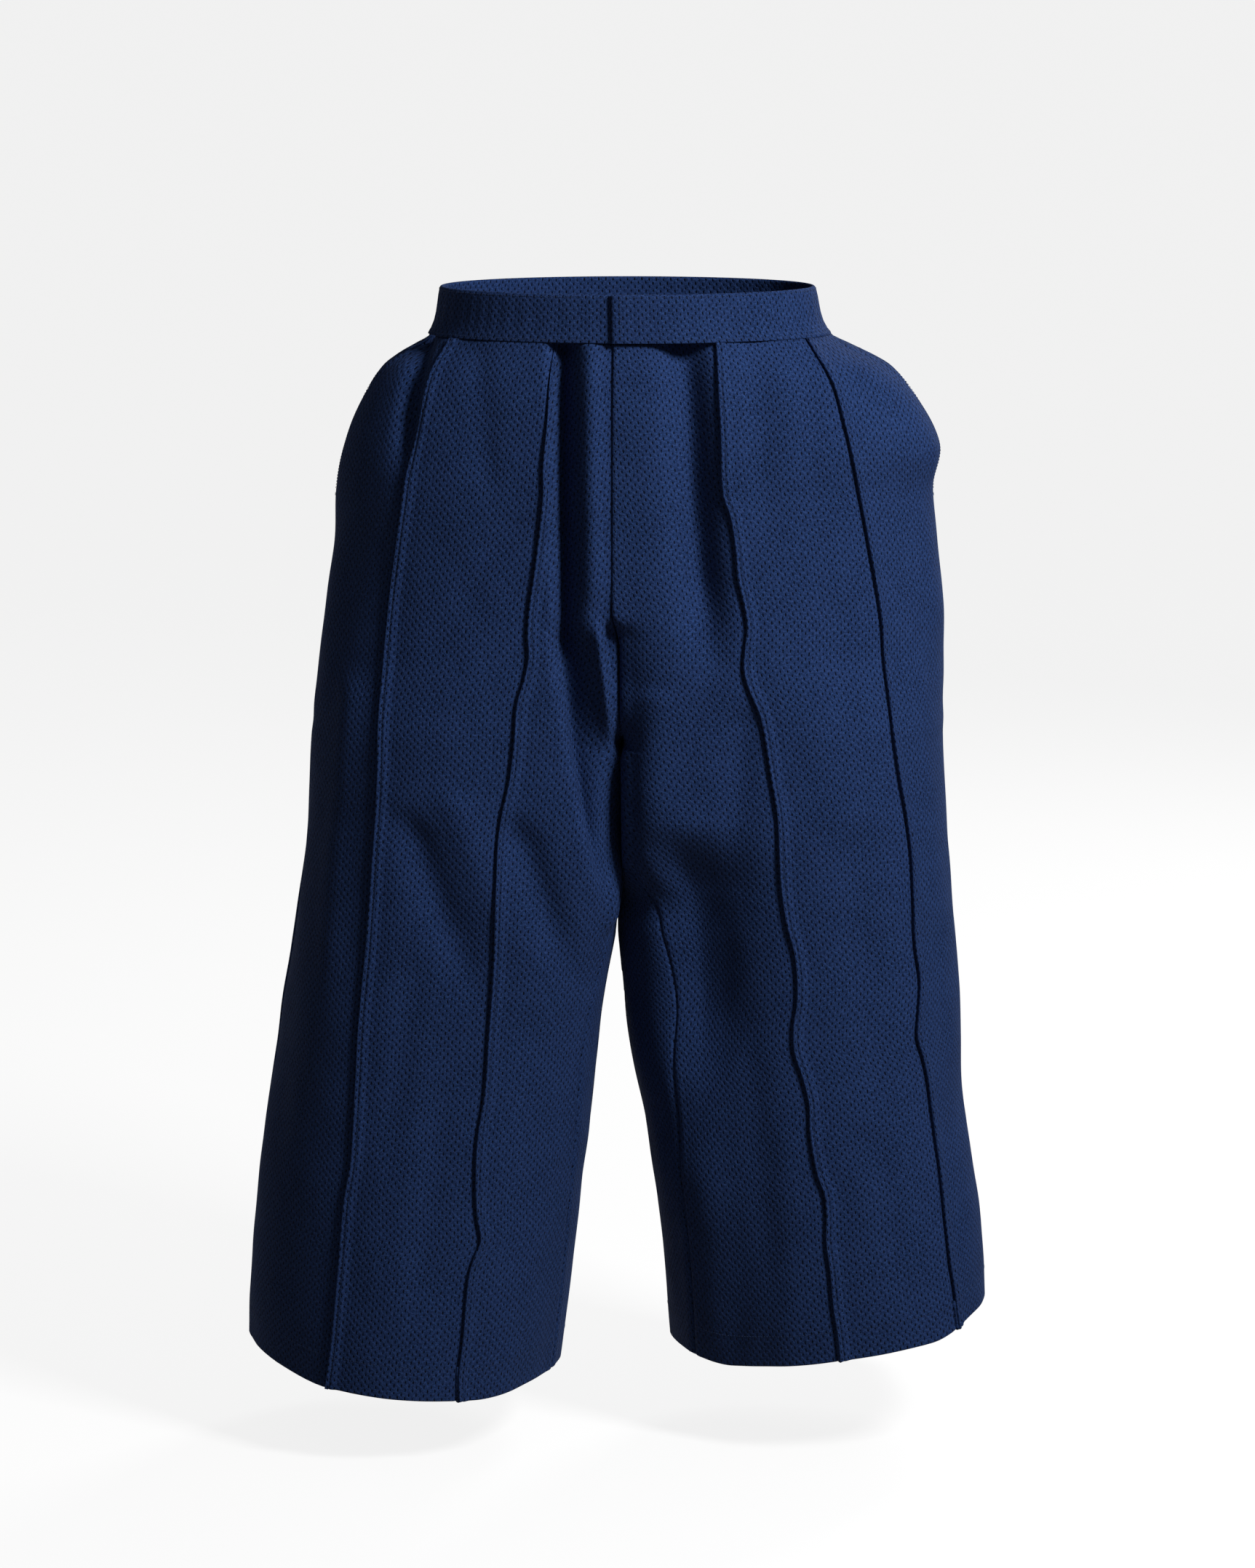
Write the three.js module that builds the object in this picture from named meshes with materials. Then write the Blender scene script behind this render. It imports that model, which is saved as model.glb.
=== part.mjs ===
// Wide samue trousers, worn and hollow: two pintucked fronts, two backs, a waistband and two pocket bags.
// Millimetres, +Z up, the front faces -Y, the wearer's right leg is at -X.
// The origin is the middle of the waist opening, at the top edge of the waistband.
import * as THREE from 'three';

// ---- driving dimensions --------------------------------------------------------------------------
const CLOTH = 2.0;              // thickness of a cloth wall
const STEEPEST = 2;             // how many thicknesses deep the wall may be where a fold is steep
const SEAM_GAP = 0.3;           // space between two pieces at a seam
const BAND_HEIGHT = 45;         // waistband, top edge to waist seam
const BAND_THICKNESS = 3.6;     // doubled cloth
const BAND_PROUD = 1.0;         // how far the band stands out from the panels under it
const BAND_LAP = 42;            // length of the band's end that lies over its other end
const CROTCH_Z = -427;          // where the centre seam meets the inseams
const FLY_X = -15;              // free edge of the fly, on the left front
const FLY_SHIFT = -6;           // how far that edge lies to the wearer's right of the centre seam
const FLY_FOOT = -290;          // lower end of the fly opening
const FLY_SINK = 3.9;           // how far the right front sinks under the fly
const UNDERLAP = 13;            // how far the right front runs on under the fly
const POCKET_TOP = -56;         // pocket mouths in the side seams
const POCKET_FOOT = -196;
const POCKET_GAPE = 9;          // each lip's distance from the seam line at the middle of the mouth
// Hem height at the inseam, its rise outwards, and how much its corners lift over a reach at the seams.
const HEM_RIGHT = { inner: -1052, rise: 0.076, corner: 12, reach: 80 };
const HEM_LEFT = { inner: -1034, rise: 0.16, corner: 12, reach: 55 };
const HEM_LEVEL = -1040;        // level of the lowest row before it is set to the hem
const HEM_START = -600;         // rows below this one lean with the hem
const INDIGO = 0x26375f;
const BAG_INDIGO = 0x1d2742;

// Outline of the worn trousers. outR, outL: x of the side seams; frontR, frontL, back: the form's limits
// in y.
const OUTLINE = [
  { z: 0, outR: -176, outL: 176, frontR: -112, frontL: -112, back: 112 },
  { z: -45, outR: -188, outL: 192, frontR: -114, frontL: -114, back: 114 },
  { z: -75, outR: -229, outL: 246, frontR: -121, frontL: -121, back: 123 },
  { z: -107, outR: -252, outL: 275, frontR: -126, frontL: -126, back: 130 },
  { z: -150, outR: -269, outL: 296, frontR: -129, frontL: -129, back: 136 },
  { z: -190, outR: -276, outL: 290, frontR: -130, frontL: -130, back: 139 },
  { z: -240, outR: -279, outL: 294, frontR: -131, frontL: -131, back: 140 },
  { z: -300, outR: -288, outL: 300, frontR: -133, frontL: -133, back: 138 },
  { z: -340, outR: -293, outL: 300, frontR: -134, frontL: -134, back: 136 },
  { z: -370, outR: -297, outL: 301, frontR: -135, frontL: -135, back: 135 },
  { z: -395, outR: -300, outL: 301, frontR: -136, frontL: -136, back: 134 },
  { z: -412, outR: -301, outL: 302, frontR: -137, frontL: -137, back: 133 },
  { z: -427, outR: -303, outL: 302, frontR: -137, frontL: -137, back: 132 },
  { z: -520, outR: -309, outL: 308, frontR: -139, frontL: -139, back: 129 },
  { z: -610, outR: -322, outL: 315, frontR: -141, frontL: -140, back: 127 },
  { z: -680, outR: -333, outL: 320, frontR: -144, frontL: -141, back: 124 },
  { z: -740, outR: -340, outL: 322, frontR: -147, frontL: -142, back: 123 },
  { z: -800, outR: -349, outL: 324, frontR: -151, frontL: -144, back: 123 },
  { z: -860, outR: -357, outL: 331, frontR: -155, frontL: -146, back: 124 },
  { z: -940, outR: -365, outL: 341, frontR: -163, frontL: -149, back: 130 },
  { z: -1000, outR: -369, outL: 345, frontR: -169, frontL: -151, back: 132 },
  { z: -1052, outR: -370, outL: 347, frontR: -174, frontL: -152, back: 134 },
];

// How the hips part into legs. splitR, splitL: 0 where a leg shares one oval with the other, 1 where it
// has its own; inR, inL: x of each leg's inner edge at y = 0; middle, lean: x of the plane between the
// legs there, and its slope along y.
const LEGS = [
  { z: -45, splitR: 0, splitL: 0, inR: -1.4, inL: 2.6, middle: 0.6, lean: 0.07 },
  { z: -75, splitR: 0.05, splitL: 0.03, inR: -1.4, inL: 2.6, middle: 0.6, lean: 0.07 },
  { z: -107, splitR: 0.09, splitL: 0.05, inR: -1.4, inL: 2.6, middle: 0.6, lean: 0.07 },
  { z: -190, splitR: 0.18, splitL: 0.1, inR: -1.4, inL: 2.6, middle: 0.6, lean: 0.07 },
  { z: -240, splitR: 0.26, splitL: 0.14, inR: -1.4, inL: 2.6, middle: 0.6, lean: 0.07 },
  { z: -300, splitR: 0.39, splitL: 0.24, inR: -1.4, inL: 2.6, middle: 0.6, lean: 0.07 },
  { z: -340, splitR: 0.6, splitL: 0.5, inR: -1.4, inL: 2.6, middle: 0.6, lean: 0.07 },
  { z: -370, splitR: 0.79, splitL: 0.74, inR: -1.4, inL: 2.6, middle: 0.6, lean: 0.07 },
  { z: -395, splitR: 0.91, splitL: 0.9, inR: -1.4, inL: 2.6, middle: 0.6, lean: 0.07 },
  { z: -412, splitR: 0.97, splitL: 0.97, inR: -1.4, inL: 2.6, middle: 0.6, lean: 0.07 },
  { z: -427, splitR: 1, splitL: 1, inR: 0.4, inL: 0.8, middle: 0.6, lean: 0.07 },
  { z: -520, splitR: 1, splitL: 1, inR: 0.3, inL: 0.7, middle: 0.5, lean: 0.06 },
  { z: -570, splitR: 1, splitL: 1, inR: -3.2, inL: -2.8, middle: -3, lean: 0.05 },
  { z: -610, splitR: 1, splitL: 1, inR: -9.9, inL: -9.4, middle: -9.65, lean: 0.03 },
  { z: -680, splitR: 1, splitL: 1, inR: -23, inL: -3, middle: -13, lean: 0 },
  { z: -740, splitR: 1, splitL: 1, inR: -31, inL: 4, middle: -13, lean: 0 },
  { z: -800, splitR: 1, splitL: 1, inR: -37, inL: 15, middle: -11, lean: 0 },
  { z: -860, splitR: 1, splitL: 1, inR: -44, inL: 23, middle: -10, lean: 0 },
  { z: -940, splitR: 1, splitL: 1, inR: -52, inL: 34, middle: -9, lean: 0 },
  { z: -1052, splitR: 1, splitL: 1, inR: -67, inL: 43, middle: -12, lean: 0 },
];

// How full each leg's oval is on its outer and its inner half, 2 for an ellipse.
const CORNERS = [
  { z: -45, outerR: 2, innerR: 2, outerL: 2, innerL: 2 },
  { z: -75, outerR: 2.1, innerR: 2.1, outerL: 2.1, innerL: 2.1 },
  { z: -107, outerR: 2.15, innerR: 2.15, outerL: 2.15, innerL: 2.15 },
  { z: -190, outerR: 2.2, innerR: 2.2, outerL: 2.2, innerL: 2.2 },
  { z: -240, outerR: 2.2, innerR: 2.2, outerL: 2.2, innerL: 2.2 },
  { z: -300, outerR: 2.2, innerR: 2.3, outerL: 2.2, innerL: 2.3 },
  { z: -340, outerR: 2.2, innerR: 2.6, outerL: 2.2, innerL: 2.6 },
  { z: -370, outerR: 2.2, innerR: 3.1, outerL: 2.2, innerL: 3.1 },
  { z: -395, outerR: 2.2, innerR: 3.8, outerL: 2.2, innerL: 3.8 },
  { z: -412, outerR: 2.2, innerR: 4.5, outerL: 2.2, innerL: 4.5 },
  { z: -427, outerR: 2.2, innerR: 5.2, outerL: 2.2, innerL: 5.2 },
  { z: -520, outerR: 2.2, innerR: 7, outerL: 2.25, innerL: 5.6 },
  { z: -570, outerR: 2.2, innerR: 5, outerL: 2.3, innerL: 3 },
  { z: -610, outerR: 2.2, innerR: 4, outerL: 2.3, innerL: 2.45 },
  { z: -680, outerR: 2.15, innerR: 3, outerL: 2.35, innerL: 2.4 },
  { z: -740, outerR: 2.1, innerR: 2.7, outerL: 2.4, innerL: 2.55 },
  { z: -800, outerR: 2.05, innerR: 2.5, outerL: 2.5, innerL: 2.45 },
  { z: -860, outerR: 2, innerR: 2.35, outerL: 2.6, innerL: 2.35 },
  { z: -940, outerR: 1.85, innerR: 2.15, outerL: 2.8, innerL: 2.1 },
  { z: -1052, outerR: 1.7, innerR: 2, outerL: 3, innerL: 1.9 },
];

// How far each inseam lies in front of its leg's inner edge, as a length along the front.
const INSEAMS = [
  { z: -427, seamR: 0, seamL: 0 },
  { z: -470, seamR: 26, seamL: 34 },
  { z: -540, seamR: 66, seamL: 88 },
  { z: -620, seamR: 82, seamL: 108 },
  { z: -740, seamR: 80, seamL: 104 },
  { z: -860, seamR: 64, seamL: 94 },
  { z: -1052, seamR: 50, seamL: 74 },
];

// Where the four pintucks run: x of each fold's crest at a height. Outer and inner tuck of each leg.
const TUCK_PATHS = [
  { z: -45, outerR: -164, innerR: -69, innerL: 82, outerL: 166 },
  { z: -80, outerR: -184, innerR: -72, innerL: 84, outerL: 188 },
  { z: -140, outerR: -198, innerR: -76, innerL: 87, outerL: 205 },
  { z: -205, outerR: -210, innerR: -81, innerL: 95, outerL: 219 },
  { z: -260, outerR: -218, innerR: -87, innerL: 102, outerL: 229 },
  { z: -310, outerR: -224, innerR: -92, innerL: 111, outerL: 237 },
  { z: -350, outerR: -228, innerR: -94, innerL: 109, outerL: 241 },
  { z: -390, outerR: -231, innerR: -104, innerL: 123, outerL: 245 },
  { z: -450, outerR: -233, innerR: -110, innerL: 134, outerL: 253 },
  { z: -530, outerR: -238, innerR: -122, innerL: 142, outerL: 265 },
  { z: -620, outerR: -246, innerR: -126, innerL: 157, outerL: 270 },
  { z: -690, outerR: -252, innerR: -131, innerL: 157, outerL: 274 },
  { z: -760, outerR: -257, innerR: -137, innerL: 169, outerL: 281 },
  { z: -830, outerR: -264, innerR: -144, innerL: 177, outerL: 292 },
  { z: -885, outerR: -270, innerR: -140, innerL: 187, outerL: 299 },
  { z: -930, outerR: -274, innerR: -152, innerL: 189, outerL: 303 },
  { z: -1050, outerR: -287, innerR: -160, innerL: 200, outerL: 313 },
];

// A pintuck across its width: distance from the crest towards +X, and how far the cloth is raised.
const TUCK_PROFILE = [
  { across: -1.6, rise: 0 },
  { across: 0, rise: 3.2 },
  { across: 3.2, rise: 2.8 },
  { across: 8.5, rise: 0 },
];

// The largest folds, each along a line from its head to its foot. depth < 0 is a trough; left, right are
// the distances from the middle to where it has nearly faded; fade is the length over which an end runs out.
const FRONT_FOLDS = [
  { leg: 'R', headX: -64, headZ: -50, footX: -60, footZ: -330, left: 11, right: 27, depth: -20, fade: 37 },
  { leg: 'R', headX: -60, headZ: -330, footX: -12, footZ: -590, left: 14, right: 36, depth: -25, fade: 110 },
  { leg: 'R', headX: -32, headZ: -55, footX: -30, footZ: -300, left: 20, right: 20, depth: 5, fade: 40 },
  { leg: 'R', headX: -196, headZ: -46, footX: -212, footZ: -175, left: 12, right: 18, depth: -13, fade: 60 },
  { leg: 'R', headX: -198, headZ: -510, footX: -132, footZ: -690, left: 34, right: 34, depth: -8, fade: 120 },
  { leg: 'R', headX: -160, headZ: -480, footX: -100, footZ: -640, left: 30, right: 30, depth: 4, fade: 100 },
  { leg: 'R', headX: -96, headZ: -515, footX: -36, footZ: -690, left: 30, right: 30, depth: -8, fade: 120 },
  { leg: 'R', headX: -262, headZ: -380, footX: -290, footZ: -700, left: 18, right: 18, depth: 4, fade: 90 },
  { leg: 'L', headX: 54, headZ: -50, footX: 76, footZ: -370, left: 34, right: 32, depth: -25, fade: 110 },
  { leg: 'L', headX: 26, headZ: -380, footX: 22, footZ: -520, left: 34, right: 34, depth: 5, fade: 60 },
  { leg: 'L', headX: 56, headZ: -560, footX: 76, footZ: -860, left: 62, right: 95, depth: -31, fade: 210 },
  { leg: 'L', headX: 100, headZ: -860, footX: 124, footZ: -1500, left: 50, right: 75, depth: -9, fade: 400 },
  { leg: 'L', headX: 118, headZ: -60, footX: 128, footZ: -250, left: 30, right: 30, depth: -5, fade: 90 },
  { leg: 'L', headX: 215, headZ: -520, footX: 236, footZ: -800, left: 34, right: 34, depth: -4, fade: 110 },
];
const BACK_FOLDS = [
  { leg: 'R', headX: -44, headZ: -46, footX: -58, footZ: -260, left: 24, right: 24, depth: -9, fade: 90 },
  { leg: 'R', headX: -118, headZ: -46, footX: -150, footZ: -330, left: 26, right: 26, depth: -10, fade: 120 },
  { leg: 'R', headX: -70, headZ: -470, footX: -130, footZ: -760, left: 44, right: 44, depth: -9, fade: 120 },
  { leg: 'R', headX: -205, headZ: -420, footX: -240, footZ: -900, left: 44, right: 44, depth: -7, fade: 160 },
  { leg: 'L', headX: 42, headZ: -46, footX: 52, footZ: -270, left: 24, right: 24, depth: -10, fade: 90 },
  { leg: 'L', headX: 110, headZ: -46, footX: 146, footZ: -350, left: 28, right: 28, depth: -9, fade: 120 },
  { leg: 'L', headX: 62, headZ: -470, footX: 120, footZ: -780, left: 44, right: 44, depth: -9, fade: 120 },
  { leg: 'L', headX: 198, headZ: -430, footX: 226, footZ: -880, left: 44, right: 44, depth: -7, fade: 160 },
];

// Rows of every panel, waist seam to hem. They crowd where the centre seam turns under the body.
const ROWS = [-45, -75, -105, -128, -150, -172, -200, -235, -268, -290, -303, -330, -358, -384, -404, -415,
  -422, -427, -436, -455, -485, -520, -560, -610, -670, -730, -790, -850, -910, -970, -1008, -1040];

// How many cloth strips lie between the lines of a panel, and the width of cloth beside the centre seam
// that holds the last of them.
const STRIPS = { centreToTuck: 12, tuckToTuck: 9, tuckToSide: 6, back: 14, seam: 4 };
const NEAR_SEAM = 12;

// A pocket bag: rings from its mouth to its closed end. forward: distance from the side seam along the
// front, deep: distance inside the cloth, thick and tall: half sizes, z: middle height.
const BAG_RINGS = [
  { forward: 0, deep: 5.5, thick: 11, tall: 72, z: -126 },
  { forward: 1, deep: 12, thick: 10, tall: 71, z: -127 },
  { forward: 12, deep: 19, thick: 10, tall: 74, z: -134 },
  { forward: 34, deep: 22, thick: 12, tall: 86, z: -154 },
  { forward: 62, deep: 23, thick: 12, tall: 92, z: -170 },
  { forward: 86, deep: 24, thick: 9, tall: 84, z: -178 },
  { forward: 98, deep: 24, thick: 5, tall: 66, z: -182 },
];
const BAG_CLOTH = 1.2;
const BAG_SIDES = 16;

// ---- helpers ---------------------------------------------------------------------------------------
const clamp = (value, low, high) => Math.min(high, Math.max(low, value));
const mix = (from, to, share) => from + (to - from) * share;
const smooth = (share) => {
  const t = clamp(share, 0, 1);
  return t * t * (3 - 2 * t);
};

// Reads a column of a table at a height, with a smooth curve through its rows, which run downwards.
function readTable(table, column, z) {
  const last = table.length - 1;
  if (z >= table[0].z) return table[0][column];
  if (z <= table[last].z) return table[last][column];
  let i = 0;
  while (table[i + 1].z > z) i += 1;
  const slopeAt = (k) => {
    const above = table[Math.max(k - 1, 0)];
    const below = table[Math.min(k + 1, last)];
    return (below[column] - above[column]) / (below.z - above.z);
  };
  const span = table[i + 1].z - table[i].z;
  const t = (z - table[i].z) / span;
  const startPull = slopeAt(i) * span;
  const endPull = slopeAt(i + 1) * span;
  return (2 * t ** 3 - 3 * t ** 2 + 1) * table[i][column] + (t ** 3 - 2 * t ** 2 + t) * startPull
    + (3 * t ** 2 - 2 * t ** 3) * table[i + 1][column] + (t ** 3 - t ** 2) * endPull;
}

// ---- the form under the cloth ------------------------------------------------------------------------
// x of the centre seams and of the plane between the legs, and above its foot of the fly's free edge.
function seamX(z, face, y) {
  const fly = face === 'front' ? FLY_SHIFT * smooth((z - FLY_FOOT + 40) / 40) : 0;
  return readTable(LEGS, 'middle', z) + readTable(LEGS, 'lean', z) * y + fly;
}

// One leg's closed oval at a height. Above the crotch it reaches past the centre line.
function legOval(leg, z) {
  const tables = [OUTLINE, LEGS, CORNERS];
  const read = (column) => readTable(tables.find((table) => column in table[0]), column, z);
  const outer = read(`out${leg}`);
  const far = read(leg === 'R' ? 'outL' : 'outR');
  const inner = mix(far, read(`in${leg}`), read(`split${leg}`));
  return {
    side: leg === 'R' ? -1 : 1,
    middleX: (outer + inner) / 2,
    halfWidth: Math.abs(outer - inner) / 2,
    middleY: (read(`front${leg}`) + read('back')) / 2,
    halfDepth: (read('back') - read(`front${leg}`)) / 2,
    outerPower: 2 / read(`outer${leg}`),
    innerPower: 2 / read(`inner${leg}`),
    lean: read('lean'),
  };
}

// Point and outward direction on an oval at a turn measured from the side seam, 0 to pi to the inner edge.
function ovalPoint(oval, face, turn) {
  const power = turn < Math.PI / 2 ? oval.outerPower : oval.innerPower;
  const lift = (value) => Math.sign(value) * Math.abs(value) ** power;
  const sign = face === 'front' ? -1 : 1;
  const across = lift(Math.cos(turn));
  const out = lift(Math.sin(turn));
  const x = oval.middleX + oval.side * oval.halfWidth * across;
  const y = oval.middleY + sign * oval.halfDepth * out;
  const lean = oval.lean * smooth((0.2 - across) / 1.2);
  const steepX = oval.side * Math.sign(across) * Math.abs(across) ** (2 / power - 1) / oval.halfWidth;
  const steepY = sign * Math.abs(out) ** (2 / power - 1) / oval.halfDepth - lean * steepX;
  const size = Math.hypot(steepX, steepY);
  return { x: x + lean * y, y, normalX: steepX / size, normalY: steepY / size };
}

// The half of a leg's outline on one face as points with running length, from the side seam inwards.
const OUTLINE_STEPS = 160;
const outlineStore = new Map();
function outline(leg, face, z) {
  const key = `${leg}${face}${z}`;
  if (outlineStore.has(key)) return outlineStore.get(key);
  const oval = legOval(leg, z);
  const points = [];
  let length = 0;
  for (let i = 0; i <= OUTLINE_STEPS; i += 1) {
    const point = ovalPoint(oval, face, Math.PI * i / OUTLINE_STEPS);
    const before = points[i - 1];
    if (before) length += Math.hypot(point.x - before.x, point.y - before.y);
    points.push({ ...point, length });
  }
  outlineStore.set(key, points);
  return points;
}

// Finds where a rising measure along an outline reaches a value, and reads the point there.
function pointWhere(points, measure, value) {
  let i = 1;
  while (i < points.length - 1 && measure(points[i]) < value) i += 1;
  const from = points[i - 1];
  const to = points[i];
  const share = clamp((value - measure(from)) / (measure(to) - measure(from)), 0, 1);
  const normalX = mix(from.normalX, to.normalX, share);
  const normalY = mix(from.normalY, to.normalY, share);
  const size = Math.hypot(normalX, normalY);
  return {
    x: mix(from.x, to.x, share),
    y: mix(from.y, to.y, share),
    length: mix(from.length, to.length, share),
    normalX: normalX / size,
    normalY: normalY / size,
  };
}

const pointAtLength = (leg, face, z, length) => pointWhere(outline(leg, face, z), (p) => p.length, length);

function lengthAtX(leg, face, z, x) {
  const inwards = leg === 'R' ? 1 : -1;
  return pointWhere(outline(leg, face, z), (p) => p.x * inwards, x * inwards).length;
}

// ---- folds -------------------------------------------------------------------------------------------
function foldRise(face, leg, x, z) {
  const folds = face === 'front' ? FRONT_FOLDS : BACK_FOLDS;
  let rise = 0;
  for (const fold of folds) {
    if (fold.leg !== leg) continue;
    const middle = mix(fold.headX, fold.footX, (z - fold.headZ) / (fold.footZ - fold.headZ));
    const away = (x - middle) / (0.6 * (x < middle ? fold.left : fold.right));
    const fromHead = smooth((fold.headZ + fold.fade / 3 - z) / (fold.fade / 3));
    const fromFoot = smooth((z - fold.footZ) / fold.fade);
    rise += fold.depth * Math.exp(-away * away) * fromHead * fromFoot;
  }
  return rise;
}

// The right front sinks under the fly, and comes back below its foot.
function underFly(leg, face, x, z) {
  if (leg !== 'R' || face !== 'front') return 0;
  const along = smooth((z - FLY_FOOT + 60) / 50);
  return -FLY_SINK * smooth((x - FLY_X + 24) / 20) * along;
}

// ---- panels ------------------------------------------------------------------------------------------
// Seam gap plus half the open mouth of a pocket, as a length along the outline.
function sideStart(z) {
  const share = clamp((POCKET_TOP - z) / (POCKET_TOP - POCKET_FOOT), 0, 1);
  return SEAM_GAP / 2 + POCKET_GAPE * Math.sin(Math.PI * share) ** 0.8;
}

// Where a panel's inner edge lies, as a length along its face. Below the crotch a back runs on past the
// leg's inner edge, to meet its front at the inseam.
function innerEnd(leg, face, z) {
  const points = outline(leg, face, z);
  const whole = points[points.length - 1].length;
  if (z < CROTCH_Z) {
    const forward = readTable(INSEAMS, `seam${leg}`, z);
    return face === 'front' ? whole - forward - SEAM_GAP / 2 : whole + forward - SEAM_GAP / 2;
  }
  const inwards = leg === 'R' ? 1 : -1;
  const overlap = face === 'front' && leg === 'R' ? UNDERLAP * smooth((z - FLY_FOOT - 2) / 24) : 0;
  const past = (point) => (point.x - seamX(z, face, point.y)) * inwards - overlap;
  return Math.min(pointWhere(points, past, -SEAM_GAP / 2).length, whole - SEAM_GAP / 2);
}

// Where the cloth nears the plane between the legs: the columns past it gather along the seam.
function turningLength(leg, face, z, end) {
  const inwards = leg === 'R' ? 1 : -1;
  const past = (point) => (point.x - seamX(z, face, point.y)) * inwards;
  return Math.min(pointWhere(outline(leg, face, z), past, -NEAR_SEAM).length, end - NEAR_SEAM);
}

// Point on the form at a length along a face. A back panel may run past the inner edge onto the front.
function formPoint(leg, face, z, length) {
  const points = outline(leg, face, z);
  const whole = points[points.length - 1].length;
  if (length <= whole) return { ...pointAtLength(leg, face, z, length), face };
  const frontPoints = outline(leg, 'front', z);
  const frontWhole = frontPoints[frontPoints.length - 1].length;
  return { ...pointAtLength(leg, 'front', z, frontWhole - (length - whole)), face: 'front' };
}

// Height of a row at a point, once the lower rows lean with the hem.
function rowHeight(leg, x, z) {
  const hem = leg === 'R' ? HEM_RIGHT : HEM_LEFT;
  const fromInner = Math.abs(x - readTable(LEGS, `in${leg}`, HEM_LEVEL));
  const fromOuter = Math.abs(x - readTable(OUTLINE, `out${leg}`, HEM_LEVEL));
  const lift = smooth(1 - fromInner / hem.reach) + smooth(1 - fromOuter / hem.reach);
  const hemZ = hem.inner + hem.rise * fromInner + hem.corner * lift;
  return z + (hemZ - HEM_LEVEL) * clamp((HEM_START - z) / (HEM_START - HEM_LEVEL), 0, 1);
}

// Plain columns between two lengths, without the first and the last.
const spread = (from, to, strips) => Array.from({ length: strips - 1 }, (_, i) => (
  { length: mix(from, to, (i + 1) / strips), rise: 0 }));

// Columns of a front: lengths from the side seam inwards, with the tucks' own lines among them.
function frontColumns(leg, z) {
  const start = sideStart(z);
  const end = innerEnd(leg, 'front', z);
  const turning = turningLength(leg, 'front', z, end);
  const outerX = readTable(TUCK_PATHS, leg === 'R' ? 'outerR' : 'outerL', z);
  const innerX = readTable(TUCK_PATHS, leg === 'R' ? 'innerR' : 'innerL', z);
  const profile = leg === 'R' ? TUCK_PROFILE : [...TUCK_PROFILE].reverse();
  const tuck = (x) => profile.map((line) => (
    { length: lengthAtX(leg, 'front', z, x + line.across), rise: line.rise }));
  const outer = tuck(outerX);
  const inner = tuck(innerX);
  return [
    { length: start, rise: 0 },
    ...spread(start, outer[0].length, STRIPS.tuckToSide),
    ...outer,
    ...spread(outer[3].length, inner[0].length, STRIPS.tuckToTuck),
    ...inner,
    ...spread(inner[3].length, turning, STRIPS.centreToTuck),
    { length: turning, rise: 0 },
    ...spread(turning, end, STRIPS.seam),
    { length: end, rise: 0 },
  ];
}

function backColumns(leg, z) {
  const start = sideStart(z);
  const end = innerEnd(leg, 'back', z);
  const turning = turningLength(leg, 'back', z, end);
  return [
    { length: start, rise: 0 },
    ...spread(start, turning, STRIPS.back),
    { length: turning, rise: 0 },
    ...spread(turning, end, STRIPS.seam),
    { length: end, rise: 0 },
  ];
}

// Keeps a leg's cloth on its own side of the centre seam, except where the fronts lap at the fly.
function ownSide(leg, face, x, y, z) {
  if (face === 'front' && z > FLY_FOOT) return x;
  const limit = seamX(z, face, y) + (leg === 'R' ? -SEAM_GAP / 2 : SEAM_GAP / 2);
  return leg === 'R' ? Math.min(x, limit) : Math.max(x, limit);
}

function panelRow(leg, face, z) {
  const columns = face === 'front' ? frontColumns(leg, z) : backColumns(leg, z);
  return columns.map((column) => {
    const point = formPoint(leg, face, z, column.length);
    const foldAt = (x) => foldRise(point.face, leg, x, z) + underFly(leg, face, x, z);
    const fold = foldAt(point.x);
    const steep = foldAt(point.x + 0.5) - foldAt(point.x - 0.5);
    const depth = CLOTH * Math.min(Math.hypot(1, steep), STEEPEST);
    const place = (rise) => {
      const y = point.y + point.normalY * rise;
      const x = ownSide(leg, face, point.x + point.normalX * rise, y, z);
      return new THREE.Vector3(x, y, rowHeight(leg, point.x, z));
    };
    return { outside: place(fold + column.rise), inside: place(fold - depth) };
  });
}

// A closed wall from a grid of paired outside and inside points.
function wallGeometry(rows, flip) {
  const across = rows[0].length;
  const down = rows.length;
  const positions = [];
  for (const layer of ['outside', 'inside']) {
    for (const row of rows) for (const pair of row) positions.push(...pair[layer].toArray());
  }
  const index = (layer, j, i) => layer * across * down + j * across + i;
  const faces = [];
  const quad = (a, b, c, d) => (flip ? faces.push(a, c, b, a, d, c) : faces.push(a, b, c, a, c, d));
  for (let j = 0; j < down - 1; j += 1) {
    for (let i = 0; i < across - 1; i += 1) {
      quad(index(0, j, i), index(0, j + 1, i), index(0, j + 1, i + 1), index(0, j, i + 1));
      quad(index(1, j, i), index(1, j, i + 1), index(1, j + 1, i + 1), index(1, j + 1, i));
    }
    quad(index(0, j, 0), index(1, j, 0), index(1, j + 1, 0), index(0, j + 1, 0));
    const e = across - 1;
    quad(index(0, j, e), index(0, j + 1, e), index(1, j + 1, e), index(1, j, e));
  }
  for (let i = 0; i < across - 1; i += 1) {
    const e = down - 1;
    quad(index(0, 0, i), index(0, 0, i + 1), index(1, 0, i + 1), index(1, 0, i));
    quad(index(0, e, i), index(1, e, i), index(1, e, i + 1), index(0, e, i + 1));
  }
  const geometry = new THREE.BufferGeometry();
  geometry.setAttribute('position', new THREE.Float32BufferAttribute(positions, 3));
  geometry.setIndex(faces);
  return geometry;
}

function panelGeometry(leg, face) {
  const rows = ROWS.map((z) => panelRow(leg, face, z));
  const towardsRight = (leg === 'R') === (face === 'front');
  return wallGeometry(rows, !towardsRight);
}

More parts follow.
